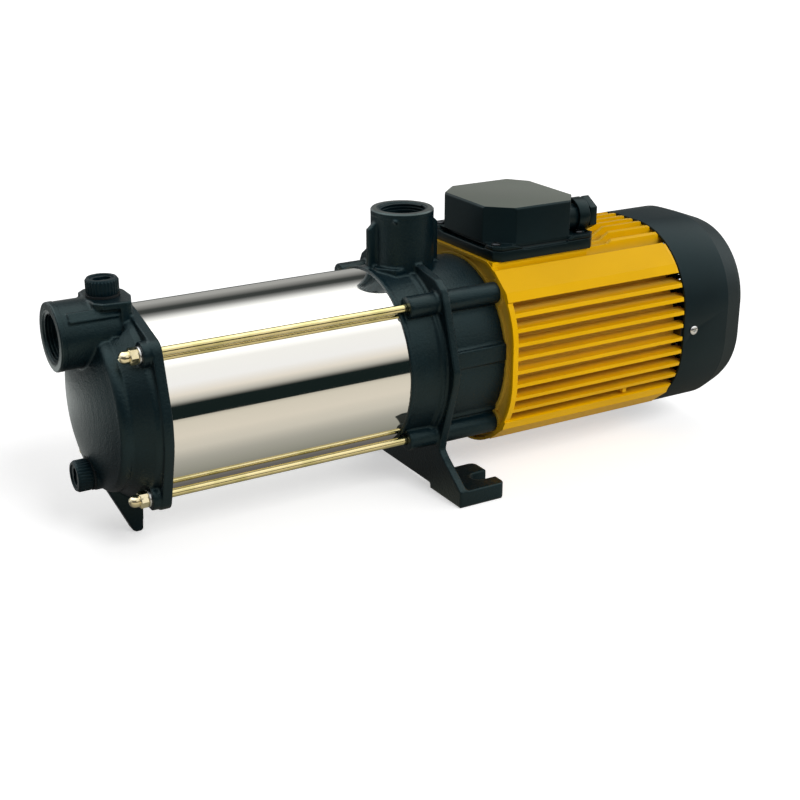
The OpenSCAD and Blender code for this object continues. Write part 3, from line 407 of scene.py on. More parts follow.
def facing(place, out):
    """The matrix that stands a piece at place, with its Z axis along out."""
    return Matrix.Translation(place) @ UP.rotation_difference(out).to_matrix().to_4x4()


def combine(made, tool, operation="DIFFERENCE", solver="EXACT"):
    """Cuts the tool's mesh out of an object, or joins it on."""
    tool = new_object("tool", tool, cast_black)
    boolean = made.modifiers.new("combine", "BOOLEAN")
    boolean.object = tool
    boolean.operation = operation
    boolean.solver = solver
    bake(made)
    bpy.data.objects.remove(tool)


def poured(bm, more):
    """Adds another closed mesh to bm; the skin of the casting then joins the two."""
    mesh = bpy.data.meshes.new("more")
    more.to_mesh(mesh)
    more.free()
    bm.from_mesh(mesh)
    bpy.data.meshes.remove(mesh)


def ring(r0, r1, x0, x1):
    return solid_of_turning([(r0, x0), (r1, x0), (r1, x1), (r0, x1)], 180)


def prism(outline, place, y0, y1):
    """A bar with the given outline; place makes a point of outline and distance."""
    bm = bmesh.new()
    ends = [[bm.verts.new(Vector(place(a, z, y)) * MM) for a, z in outline] for y in (y0, y1)]
    count = len(outline)
    bm.faces.new(ends[0])
    bm.faces.new(list(reversed(ends[1])))
    for i in range(count):
        j = (i + 1) % count
        bm.faces.new((ends[0][i], ends[1][i], ends[1][j], ends[0][j]))
    bmesh.ops.recalc_face_normals(bm, faces=bm.faces)
    return bm


def side_rib(y0, y1):
    """A flat rib along the side of the bracket's rear drum."""
    return prism([(-22, 98), (22, 98), (22, 111), (-22, 111)], lambda x, z, y: (x, y, z), y0, y1)


def lump(centre, size):
    """A small flattened ball."""
    bm = bmesh.new()
    bmesh.ops.create_uvsphere(bm, u_segments=24, v_segments=14, radius=1)
    bmesh.ops.scale(bm, vec=[v * MM for v in size], verts=bm.verts)
    bmesh.ops.translate(bm, vec=Vector(centre) * MM, verts=bm.verts)
    return bm


def casting(name, node, voxel, cuts, more):
    """A cast body: a CAD node's mesh, cut and added to, with all its edges softened."""
    made = new_object(name, node_mesh(node), cast_black)
    for cut in cuts:
        combine(made, cut)
    bm = bmesh.new()
    bm.from_mesh(made.data)
    for extra in more:
        poured(bm, extra)
    bm.to_mesh(made.data)
    bm.free()
    remesh = made.modifiers.new("skin", "REMESH")
    remesh.mode = "VOXEL"
    remesh.voxel_size = voxel
    relax = made.modifiers.new("relax", "SMOOTH")
    relax.factor = 0.5
    relax.iterations = 3
    bake(made)
    count = len(made.data.polygons) * 2
    if count > CAST_FACES:
        thin = made.modifiers.new("thin", "DECIMATE")
        thin.ratio = CAST_FACES / count
        bake(made)
    made.data.shade_smooth()
    finish_piece(made, "pump", "cast_black", node)


# ---------------------------------------------------------------- threads by geometry nodes
def socket_named(tree, name):
    return next(s for s in tree.interface.items_tree if s.name == name).identifier


def geometry_tree(name, sockets):
    """A new geometry tree, and its input sockets by name. sockets: the kind of each."""
    tree = bpy.data.node_groups.new(name, "GeometryNodeTree")
    tree.interface.new_socket("Geometry", in_out="OUTPUT", socket_type="NodeSocketGeometry")
    for label, kind in sockets.items():
        tree.interface.new_socket(label, in_out="INPUT", socket_type="NodeSocket" + kind)
    inputs = tree.nodes.new("NodeGroupInput")
    return tree, {s.name: s for s in inputs.outputs}


def painted_result(tree, shape, material):
    """Ends a geometry tree: the shape as plain mesh, in the material."""
    link = tree.links.new
    real = tree.nodes.new("GeometryNodeRealizeInstances")
    link(shape, real.inputs[0])
    paint = tree.nodes.new("GeometryNodeSetMaterial")
    link(real.outputs[0], paint.inputs[0])
    link(material, paint.inputs["Material"])
    out = tree.nodes.new("NodeGroupOutput")
    link(paint.outputs[0], out.inputs[0])
    return tree


def thread_tree():
    """A helix with a square section that stands on its corner: the thread inside a port."""
    tree, get = geometry_tree("port_thread", {
        "Pitch": "Float", "Turns": "Float", "Crest radius": "Float", "Root radius": "Float", "Material": "Material"})
    new = tree.nodes.new
    link = tree.links.new
    spiral = new("GeometryNodeCurveSpiral")
    spiral.inputs["Resolution"].default_value = 64
    link(get["Turns"], spiral.inputs["Rotations"])
    link(get["Root radius"], spiral.inputs["Start Radius"])
    link(get["Root radius"], spiral.inputs["End Radius"])
    rise = new("ShaderNodeMath")
    rise.operation = "MULTIPLY"
    link(get["Pitch"], rise.inputs[0])
    link(get["Turns"], rise.inputs[1])
    link(rise.outputs[0], spiral.inputs["Height"])
    depth = new("ShaderNodeMath")
    depth.operation = "SUBTRACT"
    link(get["Root radius"], depth.inputs[0])
    link(get["Crest radius"], depth.inputs[1])
    section = new("GeometryNodeMeshCircle")
    section.inputs["Vertices"].default_value = 4
    link(depth.outputs[0], section.inputs["Radius"])
    outline = new("GeometryNodeMeshToCurve")
    link(section.outputs[0], outline.inputs[0])
    sweep = new("GeometryNodeCurveToMesh")
    link(spiral.outputs[0], sweep.inputs[0])
    link(outline.outputs[0], sweep.inputs[1])
    return painted_result(tree, sweep.outputs[0], get["Material"])


def grown(name, tree, values):
    """Runs a geometry tree with the named values and keeps its result as a plain mesh."""
    bm = bmesh.new()
    bm.verts.new((0, 0, 0))
    mesh = bpy.data.meshes.new(name)
    bm.to_mesh(mesh)
    bm.free()
    made = bpy.data.objects.new(name, mesh)
    bpy.context.scene.collection.objects.link(made)
    grow = made.modifiers.new("grow", "NODES")
    grow.node_group = tree
    for key, value in values.items():
        grow[socket_named(tree, key)] = value
    return bake(made)


port_thread = thread_tree()


def port_lining(name, mouth, out):
    """The threaded wall of a port: mouth is the centre of its face, out points out of it."""
    ridge = grown(name, port_thread, {
        "Pitch": THREAD_PITCH, "Turns": float(THREAD_TURNS), "Crest radius": THREAD_CREST_R,
        "Root radius": THREAD_ROOT_R, "Material": cast_black})
    start = mouth - out * (THREAD_PITCH * THREAD_TURNS + 1.6 * MM)
    ridge.data.transform(facing(start, out))
    finish_piece(shade(ridge, 35), "pump", "cast_black")


def bore(mouth, out):
    """A cylinder that opens a port up to the root of its thread."""
    length = 22 * MM
    bm = bmesh.new()
    bmesh.ops.create_cone(bm, cap_ends=True, segments=96, radius1=THREAD_ROOT_R, radius2=THREAD_ROOT_R, depth=length)
    centre = mouth - out * (length / 2 - 1 * MM)
    bmesh.ops.transform(bm, matrix=facing(centre, out), verts=bm.verts)
    return bm


# ---------------------------------------------------------------- castings
def port_rib(side):
    """The raised band that runs along the suction port, under the plug pad."""
    band = prism([(-281.5, 20), (-243, 20), (-243, 24.5), (-281.5, 24.5)], lambda x, r, y: (x, y, r), -3.9, 3.9)
    turn = Matrix.Rotation(math.radians(47) * side, 4, "X")
    bmesh.ops.transform(band, matrix=Matrix.Translation((0, 0, SUCTION.z)) @ turn, verts=band.verts)
    return band


def under_pad(side):
    """The room below the plug pad, on one side of the suction port."""
    side_face = [(-267, 149.5), (-247.8, 149.5), (-247.8, 167.6), (-267, 167.6)]
    return prism(side_face, lambda x, z, y: (x, y, z), 15.5 * side, 26 * side)


suction_tube = solid_of_turning(mm([(14.6, -268), (22.8, -268), (22.8, -246.5), (14.6, -246.5)]), 144,
                                (0, 0, SUCTION.z))
cover_edge = ring(62.5 * MM, 68 * MM, X_COVER - 10 * MM, X_COVER - 0.6 * MM)
casting("suction_cover_casting", "suction_cover", 0.72 * MM,
        [bore(SUCTION, WEST), under_pad(-1), under_pad(1)],
        [cover_edge, suction_tube, port_rib(-1), port_rib(1)])
port_lining("suction_thread", SUCTION, WEST)

lip = ring(62.5 * MM, 66.2 * MM, X_LIP + 0.4 * MM, X_LIP + 9 * MM)
rear_drum = ring(60 * MM, 65.5 * MM, -22 * MM, 22.1 * MM)
port_nub = lump((-41.0, -17.0, 197.8), (2.6, 1.9, 1.3))
casting("bracket_casting", "discharge_bracket", 0.85 * MM, [bore(DISCHARGE, UP)],
        [lip, rear_drum, side_rib(-67.4, -60), side_rib(60, 67.4), port_nub])
port_lining("discharge_thread", DISCHARGE, UP)


def port_rim(name, mouth, out, outer, opening):
    """The machined face of a port, with a chamfer into the thread."""
    root = THREAD_ROOT_R / MM
    deep = opening - root
    profile = [(root, -4.2), (outer, -4.2), (outer, -1.0), (outer - 0.9, 0.04), (opening + 0.2, 0.04),
               (opening, -0.1), (root, -0.1 - deep)]
    bm = solid_of_turning(mm(profile), 128, (0, 0, 0), "Z")
    bmesh.ops.transform(bm, matrix=facing(mouth, out), verts=bm.verts)
    rim = new_object(name, bm, cast_black, 25)
    rim.data.materials.append(machined)
    for face in rim.data.polygons:
        face.material_index = int(face.normal.dot(out) > 0.3)
    finish_piece(rim, "pump", "cast_black")


port_rim("suction_rim", SUCTION, WEST, 23.15, 18.8)
port_rim("discharge_rim", DISCHARGE, UP, 22.85, 18.4)

# ---------------------------------------------------------------- sleeve
WALL = 1.5 * MM
SEAT = 6 * MM
sleeve = new_object("polished_sleeve", solid_of_turning([
    (SLEEVE_R - WALL, X_COVER - SEAT), (SLEEVE_R, X_COVER - SEAT),
    (SLEEVE_R, X_LIP + SEAT), (SLEEVE_R - WALL, X_LIP + SEAT)], 256), mirror_steel, 30)
finish_piece(sleeve, "pump", "sleeve_steel", "outer_sleeve")


# ---------------------------------------------------------------- fasteners
def ring_tree():
    """Copies of one piece, evenly set out on a circle about the X axis."""
    tree, get = geometry_tree("round_the_shaft", {
        "Piece": "Object", "Count": "Int", "Radius": "Float", "Phase": "Float", "Height": "Float",
        "Material": "Material"})
    new = tree.nodes.new
    link = tree.links.new
    circle = new("GeometryNodeMeshCircle")
    link(get["Count"], circle.inputs["Vertices"])
    link(get["Radius"], circle.inputs["Radius"])
    upright = new("GeometryNodeTransform")
    upright.inputs["Rotation"].default_value = (math.pi / 2, 0, math.pi / 2)
    link(circle.outputs[0], upright.inputs[0])
    turn = new("GeometryNodeTransform")
    angle = new("ShaderNodeCombineXYZ")
    link(get["Phase"], angle.inputs[0])
    link(angle.outputs[0], turn.inputs["Rotation"])
    place = new("ShaderNodeCombineXYZ")
    link(get["Height"], place.inputs[2])
    link(place.outputs[0], turn.inputs["Translation"])
    link(upright.outputs[0], turn.inputs[0])
    piece = new("GeometryNodeObjectInfo")
    link(get["Piece"], piece.inputs["Object"])
    scatter = new("GeometryNodeInstanceOnPoints")
    link(turn.outputs[0], scatter.inputs["Points"])
    link(piece.outputs["Geometry"], scatter.inputs["Instance"])
    return painted_result(tree, scatter.outputs[0], get["Material"])


round_shaft = ring_tree()


def at_the_rods(name, bm, material, angle):
    """Four copies of a piece that is drawn on the X axis, one at each tie rod."""
    piece = new_object(name + "_piece", bm, material)
    made = grown(name, round_shaft, {
        "Piece": piece, "Count": 4, "Radius": ROD_CIRCLE_R, "Phase": math.pi / 4, "Height": AXIS_Z,
        "Material": material})
    bpy.data.objects.remove(piece)
    return shade(made, angle)


def arc(r0, h0, radius, a0, a1, steps):
    """Points of an arc about (r0, h0), angles in degrees from the radius direction."""
    return [(r0 + radius * math.cos(math.radians(a0 + (a1 - a0) * i / steps)),
             h0 + radius * math.sin(math.radians(a0 + (a1 - a0) * i / steps))) for i in range(steps + 1)]


NUT_SEAT = -249.0
nut_profile = [(0, 0), (4.75, 0), (5.9, 0.6), (5.9, 5.3), (4.7, 6.0), (3.95, 6.1), (3.95, 6.5), (4.25, 6.8)]
nut_profile += arc(0, 8.4, 4.25, 0, 90, 8)
nut_profile = [(r, NUT_SEAT - h) for r, h in nut_profile]
nuts = at_the_rods("acorn_nuts", solid_of_turning(mm(nut_profile), 72, (0, 0, 0), "X", hexagon(10 * MM, 72)),
                   nut_zinc, 24)
finish_piece(nuts, "pump", "zinc_yellow", "cap_nuts")
washer_profile = [(3.2, -247.6), (5.8, -247.6), (6.0, -247.8), (6.0, -248.8), (5.8, -249.0), (3.2, -249.0)]
washers = at_the_rods("bright_washers", solid_of_turning(mm(washer_profile), 64, (0, 0, 0)), bright_steel, 35)
finish_piece(washers, "pump", "bright_steel", "rod_washers")
rod_profile = [(0, -255), (2.6, -255), (3.0, -254.6), (3.0, -38.4), (2.6, -38), (0, -38)]
rods = at_the_rods("zinc_rods", solid_of_turning(mm(rod_profile), 48, (0, 0, 0)), zinc_yellow, 35)
finish_piece(rods, "pump", "zinc_yellow", "tie_rods")


def pan_head(name, places, radius, height, shank, material):
    """Screws with a cross recess. places: (point on the seat, direction out of it)."""
    profile = mm([(0, -shank), (radius * 0.5, -shank), (radius * 0.5, 0), (radius * 0.94, 0), (radius, 0.25)]
                 + [(radius * math.cos(math.radians(a)), 0.4 + (height - 0.4) * math.sin(math.radians(a)))
                    for a in range(10, 91, 10)])
    one = new_object(name + "_piece", solid_of_turning(profile, 40, (0, 0, 0), "Z"), material)
    for k in range(2):
        bm = bmesh.new()
        bmesh.ops.create_cone(bm, cap_ends=True, segments=4, radius1=radius * 0.16 * MM, radius2=radius * 0.72 * MM,
                              depth=height * 1.1 * MM)
        bmesh.ops.rotate(bm, matrix=Matrix.Rotation(math.pi / 4, 3, "Z"), verts=bm.verts)
        bmesh.ops.scale(bm, vec=(1, 0.24, 1), verts=bm.verts)
        bmesh.ops.rotate(bm, matrix=Matrix.Rotation(math.pi / 2 * k + 0.3, 3, "Z"), verts=bm.verts)
        bmesh.ops.translate(bm, vec=(0, 0, height * 0.62 * MM), verts=bm.verts)
        combine(one, bm)
    bm = bmesh.new()
    for seat, out in places:
        copy = one.data.copy()
        copy.transform(facing(Vector(seat) * MM, Vector(out)))
        bm.from_mesh(copy)
        bpy.data.meshes.remove(copy)
    bpy.data.objects.remove(one)
    return new_object(name, bm, material, 30)


# Places of the screws, in millimetres: along the fan cover, and on the box's rim
COVER_SCREW_X = 192
LID_SCREW_X = (30.9, 104.1)
LID_SCREW_Y = 37.5
LID_SCREW_Z = 176
side_screws = pan_head("fan_cover_cross_screws", [((COVER_SCREW_X, s * MOTOR_HALF, AXIS), (0, s, 0))
                                                  for s in (-1, 1)], 3.7, 2.0, 9, bright_steel)
finish_piece(side_screws, "pump", "bright_steel", "fan_cover_screws")
lid_screws = pan_head("box_cross_screws", [((x, s * LID_SCREW_Y, LID_SCREW_Z), UP) for x in LID_SCREW_X
                                           for s in (-1, 1)], 3.4, 2.0, 9, black_zinc)
finish_piece(lid_screws, "pump", "bright_steel", "terminal_cover_screws")


# ---------------------------------------------------------------- plugs
KNURLS = 30
KNURL = (11.0, 11.0, 10.85, 10.6, 10.45, 10.6, 10.85)
KNURLED = [r * MM for r in KNURL] * KNURLS
LOBED = [(3.2 + 2.9 * abs(math.cos(math.pi * k / 48)) ** 1.6) * MM for k in range(96)]
PLUG = [(0, -10), (5.9, -10), (6.5, -9.4), (6.5, 1.6), (10.2, 1.6), (10.45, 1.85), (10.45, 2.6), (11.2, 2.9),
        (11.2, 10.6), (10.45, 11.2), (9.9, 12.1), (8.5, 12.1), (8.1, 11.8), (8.1, 11.3), (0, 11.3)]


def plug(name, body, node, seat, out):
    """A knurled head with a dished face and a four-lobed socket."""
    made = new_object(name, solid_of_turning(mm(PLUG), len(KNURLED), (0, 0, 0), "Z", KNURLED), plug_plastic)
    socket = mm([(0, 6), (6.2, 6), (6.2, 14), (0, 14)])
    combine(made, solid_of_turning(socket, len(LOBED), (0, 0, 0), "Z", LOBED))
    made.data.transform(facing(seat, out))
    finish_piece(shade(made, 32), body, "plug_black", node)


plug("knurled_priming_plug", "priming_plug", "priming_plug", Vector((-252, 0, 171.9)) * MM, UP)
plug("knurled_drain_plug", "drain_plug", "drain_plug", Vector((-269.6, 0, 49)) * MM, WEST)


# ---------------------------------------------------------------- moulded and machined bodies
# Middle of the terminal box in the solid model, the ledge of its rim and the height of the rim's screw corners
BOX_X = 66.5
LEDGE_Z = 171.8
RIM_TOP_Z = 176.6
# How much longer the rim is than the solid model's, and how far it moves back
RIM_STRETCH = 1.015
RIM_SHIFT = 3.6


def ledge_cuts():
    """Notches that leave the box's rim high only at its screw corners."""
    made = []
    for s in (-1, 1):
        side = [(-19.5, LEDGE_Z), (18.5, LEDGE_Z), (24, RIM_TOP_Z), (-25, RIM_TOP_Z)]
        end = [(-29, LEDGE_Z), (29, LEDGE_Z), (33.6, RIM_TOP_Z), (-33.6, RIM_TOP_Z)]
        made.append(prism(side, lambda a, z, y: (BOX_X + a, y, z), s * 43.03, s * 47.5))
        made.append(prism(end, lambda a, z, x: (BOX_X + x, a, z), s * 37.03, s * 45.5))
    return made


def shift_rim(bm):
    """The box's rim is a little longer, and stands further back, than the solid model has it."""
    for v in bm.verts:
        v.co.x = (BOX_X + (v.co.x / MM - BOX_X) * RIM_STRETCH + RIM_SHIFT) * MM


def stretch_hood(bm):
    """The hood above that rim: longer, a little lower, and cut less at its rear corners."""
    half_length, stretch, forward = 37.3, 1.07, 0.6
    foot_z, top_z, drop = 175.9 * MM, 195 * MM, 1.4 * MM
    corner_x, corner_y, corner_back = 15, 38 * MM, 4.6 * MM
    for v in bm.verts:
        away = v.co.x / MM - BOX_X
        if abs(away) < half_length and v.co.z > foot_z:
            v.co.x = (BOX_X + away * stretch - forward) * MM
            if away > corner_x and abs(v.co.y) > corner_y:
                v.co.x += corner_back
        else:
            v.co.x = (BOX_X + away * RIM_STRETCH + RIM_SHIFT) * MM
        if v.co.z > top_z:
            v.co.z -= drop


def thin_nut(bm):
    """The gland's nut is a thin hexagon that stands further out on its body."""
    # Both ends of the hexagon in the solid model, and as seen
    old_start, old_end = 110.8, 120.8
    start, end = 114.6, 120.6
    for v in bm.verts:
        x = v.co.x / MM
        v.co.x = (start + (x - old_start) * 0.6 if x < old_end else end + (x - old_end) * 0.25) * MM


def gland_barrel():
    """The smooth barrel of the cable gland, over its thread."""
    profile = [(8.6, 104.2), (12.6, 104.2), (12.8, 104.4), (12.8, 113.4), (12.3, 114.1), (8.6, 114.1)]
    return solid_of_turning(mm(profile), 72, (0, -27 * MM, 187 * MM))


def deeper_fins():
    """The top fins stay low behind the box and rise on a slope further back."""
    side = [(112.3, 163.2), (133, 163.2), (146.5, 171.4), (146.5, 185), (112.3, 185)]
    return prism(side, lambda x, z, y: (x, y, z), -47.3, 47.3)


def flange_groove():
    """The hollow between the rim of the motor's flange and the edge round the drum."""
    steps = 96
    rim = 2.2
    top = 67.6
    drum_edge_r = 66.9
    boss_place = 49.71
    boss_edge = 1.7
    outline = []
    for k in range(steps):
        a = 2 * math.pi * (k + 0.5) / steps
        y = math.copysign(MOTOR_FLAT, math.cos(a)) + (MOTOR_CORNER - rim) * math.cos(a)
        z = math.copysign(MOTOR_FLAT, math.sin(a)) + (MOTOR_CORNER - rim) * math.sin(a)
        outline.append((y, AXIS + min(z, top)))
    block = new_object("groove", prism(outline, lambda y, z, x: (x, y, z), 21.5, 24.9), cast_black)
    rounds = [((0, AXIS), drum_edge_r)]
    for sy in (-1, 1):
        for sz in (-1, 1):
            rounds.append(((sy * boss_place, AXIS + sz * boss_place), FLANGE_BOSS_R + boss_edge))
    for (y, z), radius in rounds:
        post = mm([(0, 18), (radius, 18), (radius, 30), (0, 30)])
        combine(block, solid_of_turning(post, 128, (0, y * MM, z * MM)), solver="MANIFOLD")
    bm = bmesh.new()
    bm.from_mesh(block.data)
    bpy.data.objects.remove(block)
    return bm


def reach_cover(bm):
    """The ends of the fins run up to the edge of the fan cover."""
    # Where the fins end in the solid model and as seen, where the housing ends, and the radius the fins stand on
    old_end, end, housing_end = 178.6, 181.3, 181.9
    barrel_r = 65.2 * MM
    for v in bm.verts:
        x = v.co.x / MM
        if old_end <= x <= housing_end and math.hypot(v.co.y, v.co.z - AXIS_Z) > barrel_r:
            v.co.x = (end + (x - old_end) * 0.27) * MM


# How far the fan cover's end lies inside its side, at each step of its length: in the solid model, and as seen
END_STEPS = [math.radians(15 * k) for k in range(7)]
OLD_INSET = [(math.sin(a), 17 * (1 - math.cos(a))) for a in END_STEPS]
NEW_INSET = [(math.sin(a), inset) for a, inset in zip(END_STEPS, (0, 1.7, 3.4, 4.9, 6.6, 9.0, 12.0))]


def on_line(points, t):
    """Height at t of the line through the points."""
    for (t0, h0), (t1, h1) in zip(points, points[1:]):
        if t <= t1:
            return h0 + (h1 - h0) * (t - t0) / (t1 - t0)
    return points[-1][1]


def fuller_end(bm):
    """The fan cover narrows from a crease, and less than the solid model has it."""
    inner = MOTOR_FLAT * MM
    for v in bm.verts:
        x = v.co.x / MM
        y, z = v.co.y, v.co.z - AXIS_Z
        cy, cz = max(-inner, min(inner, y)), max(-inner, min(inner, z))
        out = math.hypot(y - cy, z - cz)
        inset = MOTOR_CORNER - out / MM
        # Outside, then inside
        for length, wall in ((22, 0), (20, 2)):
            t = (x - CREASE_X) / length
            if not 0.01 < t < 1.001:
                continue
            old = on_line(OLD_INSET, t) + wall
            if abs(old - inset) < 0.3:
                grow = (out + (old - on_line(NEW_INSET, t) - wall) * MM) / out
                v.co.y = cy + (y - cy) * grow
                v.co.z = AXIS_Z + cz + (z - cz) * grow
                break


def rounded(name, node, material, width, angle=30, smooth=40, cuts=(), more=(), shape=None):
    """A CAD body, cut, added to and reshaped, with its sharp edges rounded to width."""
    made = new_object(name, node_mesh(node), material)
    for operation, tools in (("DIFFERENCE", cuts), ("UNION", more)):
        for tool in tools:
            combine(made, tool, operation, "MANIFOLD")
    bm = bmesh.new()
    bm.from_mesh(made.data)
    bmesh.ops.remove_doubles(bm, verts=bm.verts, dist=WELD)
    bmesh.ops.dissolve_limit(bm, angle_limit=math.radians(0.6), verts=bm.verts, edges=bm.edges)
    if shape:
        shape(bm)
    for face in bm.faces:
        face.material_index = 0
    bm.to_mesh(made.data)
    bm.free()
    made.data.materials.clear()
    made.data.materials.append(material)
    edge = made.modifiers.new("edge", "BEVEL")
    edge.width = width
    edge.segments = 2
    edge.limit_method = "ANGLE"
    edge.angle_limit = math.radians(angle)
    edge.use_clamp_overlap = True
    edge.harden_normals = False
    bake(made)
    return shade(made, smooth)


fin_web = prism([(133, 51.5), (136.5, 51.5), (136.5, 60), (133, 60)], lambda x, z, y: (x, y, z), -65.5, -60)
# Rings between those of the solid model's grille
RING_HALF = 1.7
grille_rings = [ring((r - RING_HALF) * MM, (r + RING_HALF) * MM, 245.8 * MM, 247.9 * MM)
                for r in (50.05, 41.55, 33.05, 24.55, 16.05)]
for name, node, material, slot, width, extra in (
        ("finned_housing", "motor_housing", yellow_enamel, "motor_yellow", 0.35 * MM,
         {"cuts": [flange_groove(), deeper_fins()], "more": [fin_web], "shape": reach_cover, "smooth": 18}),
        ("box_base", "terminal_box_base", box_plastic, "box_plastic", 0.5 * MM,
         {"cuts": ledge_cuts(), "shape": shift_rim}),
        ("box_seal", "terminal_box_gasket", rubber, "rubber_black", 0.1 * MM,
         {"cuts": ledge_cuts(), "shape": shift_rim}),
        ("box_hood", "terminal_box_cover", lid_with_painted_sheen, "box_plastic", 0.6 * MM,
         {"cuts": ledge_cuts(), "shape": stretch_hood}),
        ("gland_cap", "gland_nut", box_plastic, "box_plastic", 0.4 * MM, {"shape": thin_nut}),
        ("gland_thread", "gland_body", box_plastic, "box_plastic", 0.3 * MM, {"more": [gland_barrel()]}),
        ("fan_hood", "fan_cover", cover_plastic, "cover_plastic", 0.4 * MM,
         {"angle": 50, "smooth": 34, "more": grille_rings, "shape": fuller_end})):
    made = rounded(name, node, material, width, **extra)
    finish_piece(made, "pump", slot, node)

# The last of these is the fan cover: its crease stays sharp
for edge in made.data.edges:
    if all(abs(made.data.vertices[v].co.x - CREASE_X * MM) < 0.05 * MM for v in edge.vertices):
        edge.use_edge_sharp = True

for kept in ("fan", "rear_shield", "shaft"):
    nodes[kept].data.set_sharp_from_angle(angle=math.radians(28))


# ---------------------------------------------------------------- studio
# Light of the plain surroundings, and what the table adds of its own where the camera sees it
AMBIENT = 0.42
FLOOR_LIFT = 0.5


def outwards(azimuth, elevation):
    """The direction in which a point lies that is seen at these angles."""
    a, e = math.radians(azimuth), math.radians(elevation)
    return Vector((math.sin(a) * math.cos(e), -math.cos(a) * math.cos(e), math.sin(e)))


def studio_world():
    """Even white light. Glossy surfaces see softboxes above, a warm table below and dark gaps between them."""
    world = bpy.data.worlds.new("studio")
    bpy.context.scene.world = world
    world.use_nodes = True
    t = Tree(world.node_tree)
    background = t.nodes["Background"]
    x, y, z = t.axes(t.node("ShaderNodeTexCoord"))
    # Angle round the shaft's direction: 0.25 straight down, 0.5 towards the camera's side, 0.75 straight up
    angle = t.node("ShaderNodeMath", {"operation": "ARCTAN2"}, z, y * -1.0) / (2 * math.pi) + 0.5
    seen = t.node("ShaderNodeValToRGB", {"stops": [
        (0.0, (0.45, 0.44, 0.41)), (0.22, (0.36, 0.33, 0.27)), (0.30, (0.5, 0.45, 0.37)),
        (0.40, (0.62, 0.57, 0.48)), (0.470, (0.56, 0.51, 0.42)), (0.477, (0.008, 0.014, 0.013)),
        (0.517, (0.008, 0.014, 0.013)), (0.532, (0.5, 0.48, 0.42)), (0.55, (0.8, 0.74, 0.64)),
        (0.585, (0.93, 0.92, 0.9)), (0.64, (0.95, 0.94, 0.9)), (0.70, (1.7, 1.7, 1.65)),
        (0.81, (1.7, 1.7, 1.65)), (0.865, (0.3, 0.3, 0.29)), (0.885, (0.045, 0.05, 0.047)),
        (0.905, (0.045, 0.05, 0.047)), (0.925, (0.19, 0.19, 0.18)), (0.96, (0.38, 0.38, 0.36))]}, angle)
    # Surfaces that look away from the sleeve see a plain grey room with a light ceiling
    low = t.band(z, -0.1, 0.25, 0.05, 0.9)
    behind = t.band(y, -0.5, 0.4, 0.15, 1.0)
    above = t.band(z, 0.45, 0.8, 0.0, 1.3)
    room = t.grey(low * behind + above)
    seen = t.mix(t.band(x, -0.05, 0.2), room, seen)
    path = t.nodes.new("ShaderNodeLightPath")
    glossy = Value(t, path.outputs["Is Glossy Ray"])
    camera = Value(t, path.outputs["Is Camera Ray"])
    side = t.band(x, -0.9, 0.5, AMBIENT * 0.45, AMBIENT * 1.1)
    plain = t.mix(camera, t.grey(side), (1.0, 1.0, 1.0))
    t.feed(background.inputs["Color"], t.mix(glossy, plain, seen))
    background.inputs["Strength"].default_value = 1.0


def sun(name, azimuth, elevation, strength, angle):
    """A broad lamp, given by the side it shines from. Glossy surfaces don't show it."""
    data = bpy.data.lights.new(name, "SUN")
    data.energy = strength
    data.angle = math.radians(angle)
    made = bpy.data.objects.new(name, data)
    made.rotation_euler = outwards(azimuth, elevation).to_track_quat("Z", "Y").to_euler()
    made.visible_glossy = False
    bpy.context.scene.collection.objects.link(made)


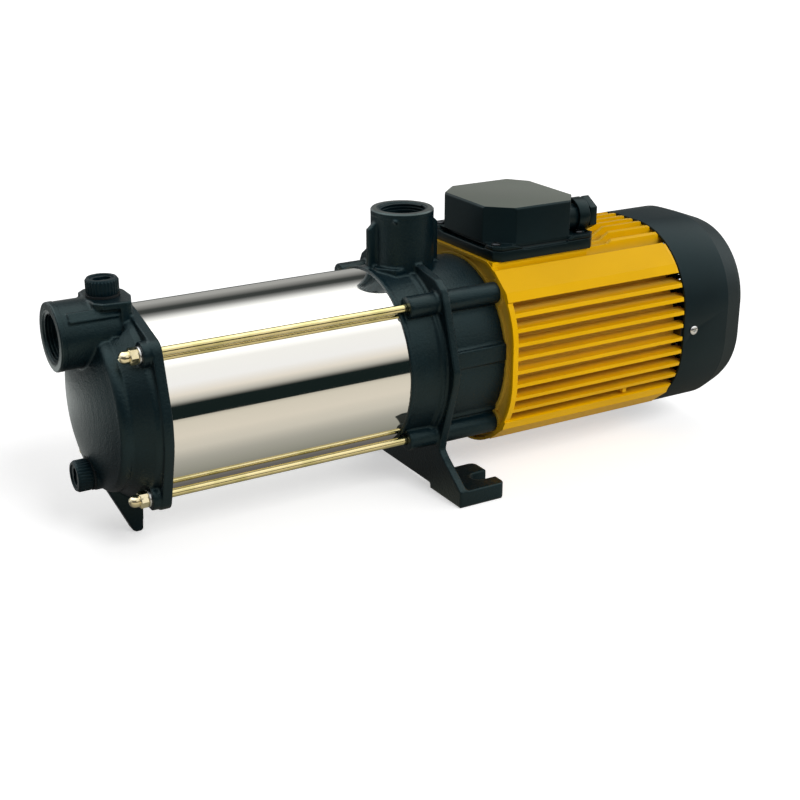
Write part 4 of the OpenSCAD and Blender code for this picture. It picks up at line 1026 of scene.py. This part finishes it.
def floor():
    """A white table that keeps the object's shadow.

    Glossy surfaces see bands on it: warm in front of the object, dark under it, bright behind it, dark further off.
    """
    bm = bmesh.new()
    bmesh.ops.create_grid(bm, x_segments=1, y_segments=1, size=4)
    f = Finish("white_table", (0.86, 0.86, 0.86), 0.9)
    f.set(Specular_IOR_Level=0.0)
    out = f.nodes["Material Output"]
    path = f.nodes.new("ShaderNodeLightPath")
    lift = Value(f, path.outputs["Is Camera Ray"]) * FLOOR_LIFT
    f.set(Emission_Color=f.grey(lift), Emission_Strength=1.0)
    reach = f.node("ShaderNodeMapRange", None, f.axes(f.place)[1], -0.8, 1.2, 0.0, 1.0)
    glow = f.nodes.new("ShaderNodeEmission")
    f.feed(glow.inputs["Color"], f.node("ShaderNodeValToRGB", {"stops": [
        (0.0, (0.008, 0.014, 0.013)), (0.065, (0.008, 0.014, 0.013)), (0.075, (0.5, 0.46, 0.38)),
        (0.16, (0.66, 0.61, 0.5)), (0.295, (0.72, 0.66, 0.55)), (0.333, (0.62, 0.58, 0.49)),
        (0.354, (0.4, 0.385, 0.33)), (0.3715, (0.29, 0.285, 0.235)), (0.39, (0.13, 0.12, 0.11)),
        (0.43, (0.16, 0.16, 0.16)), (0.46, (0.55, 0.57, 0.55)), (0.505, (0.65, 0.67, 0.65)),
        (0.53, (1.4, 1.45, 1.4)), (0.57, (1.4, 1.45, 1.4)), (0.6, (0.12, 0.13, 0.13))]}, reach))
    swap = f.nodes.new("ShaderNodeMixShader")
    f.links.new(path.outputs["Is Glossy Ray"], swap.inputs[0])
    f.links.new(f.shader.outputs[0], swap.inputs[1])
    f.links.new(glow.outputs[0], swap.inputs[2])
    f.links.new(swap.outputs[0], out.inputs["Surface"])
    made = new_object("table", bm, f.material)
    made.location = (0, 0, -0.0002)


def camera():
    """The photograph's viewpoint."""
    data = bpy.data.cameras.new("camera")
    data.sensor_width = 36
    data.lens = 63.81
    data.clip_start = 0.01
    made = bpy.data.objects.new("camera", data)
    azimuth, elevation, distance = -30.32, 21.17, 1.0713
    aim = Vector((-0.02774, 0, 0.05475))
    back = outwards(azimuth, elevation)
    made.location = aim + back * distance
    made.rotation_euler = back.to_track_quat("Z", "Y").to_euler()
    bpy.context.scene.collection.objects.link(made)
    bpy.context.scene.camera = made


studio_world()
sun("key", 12, 40, 1.35, 25)
sun("fill", 50, 30, 0.5, 40)
sun("back", 170, 50, 0.4, 30)
floor()
camera()
bpy.context.scene.view_settings.view_transform = "Standard"
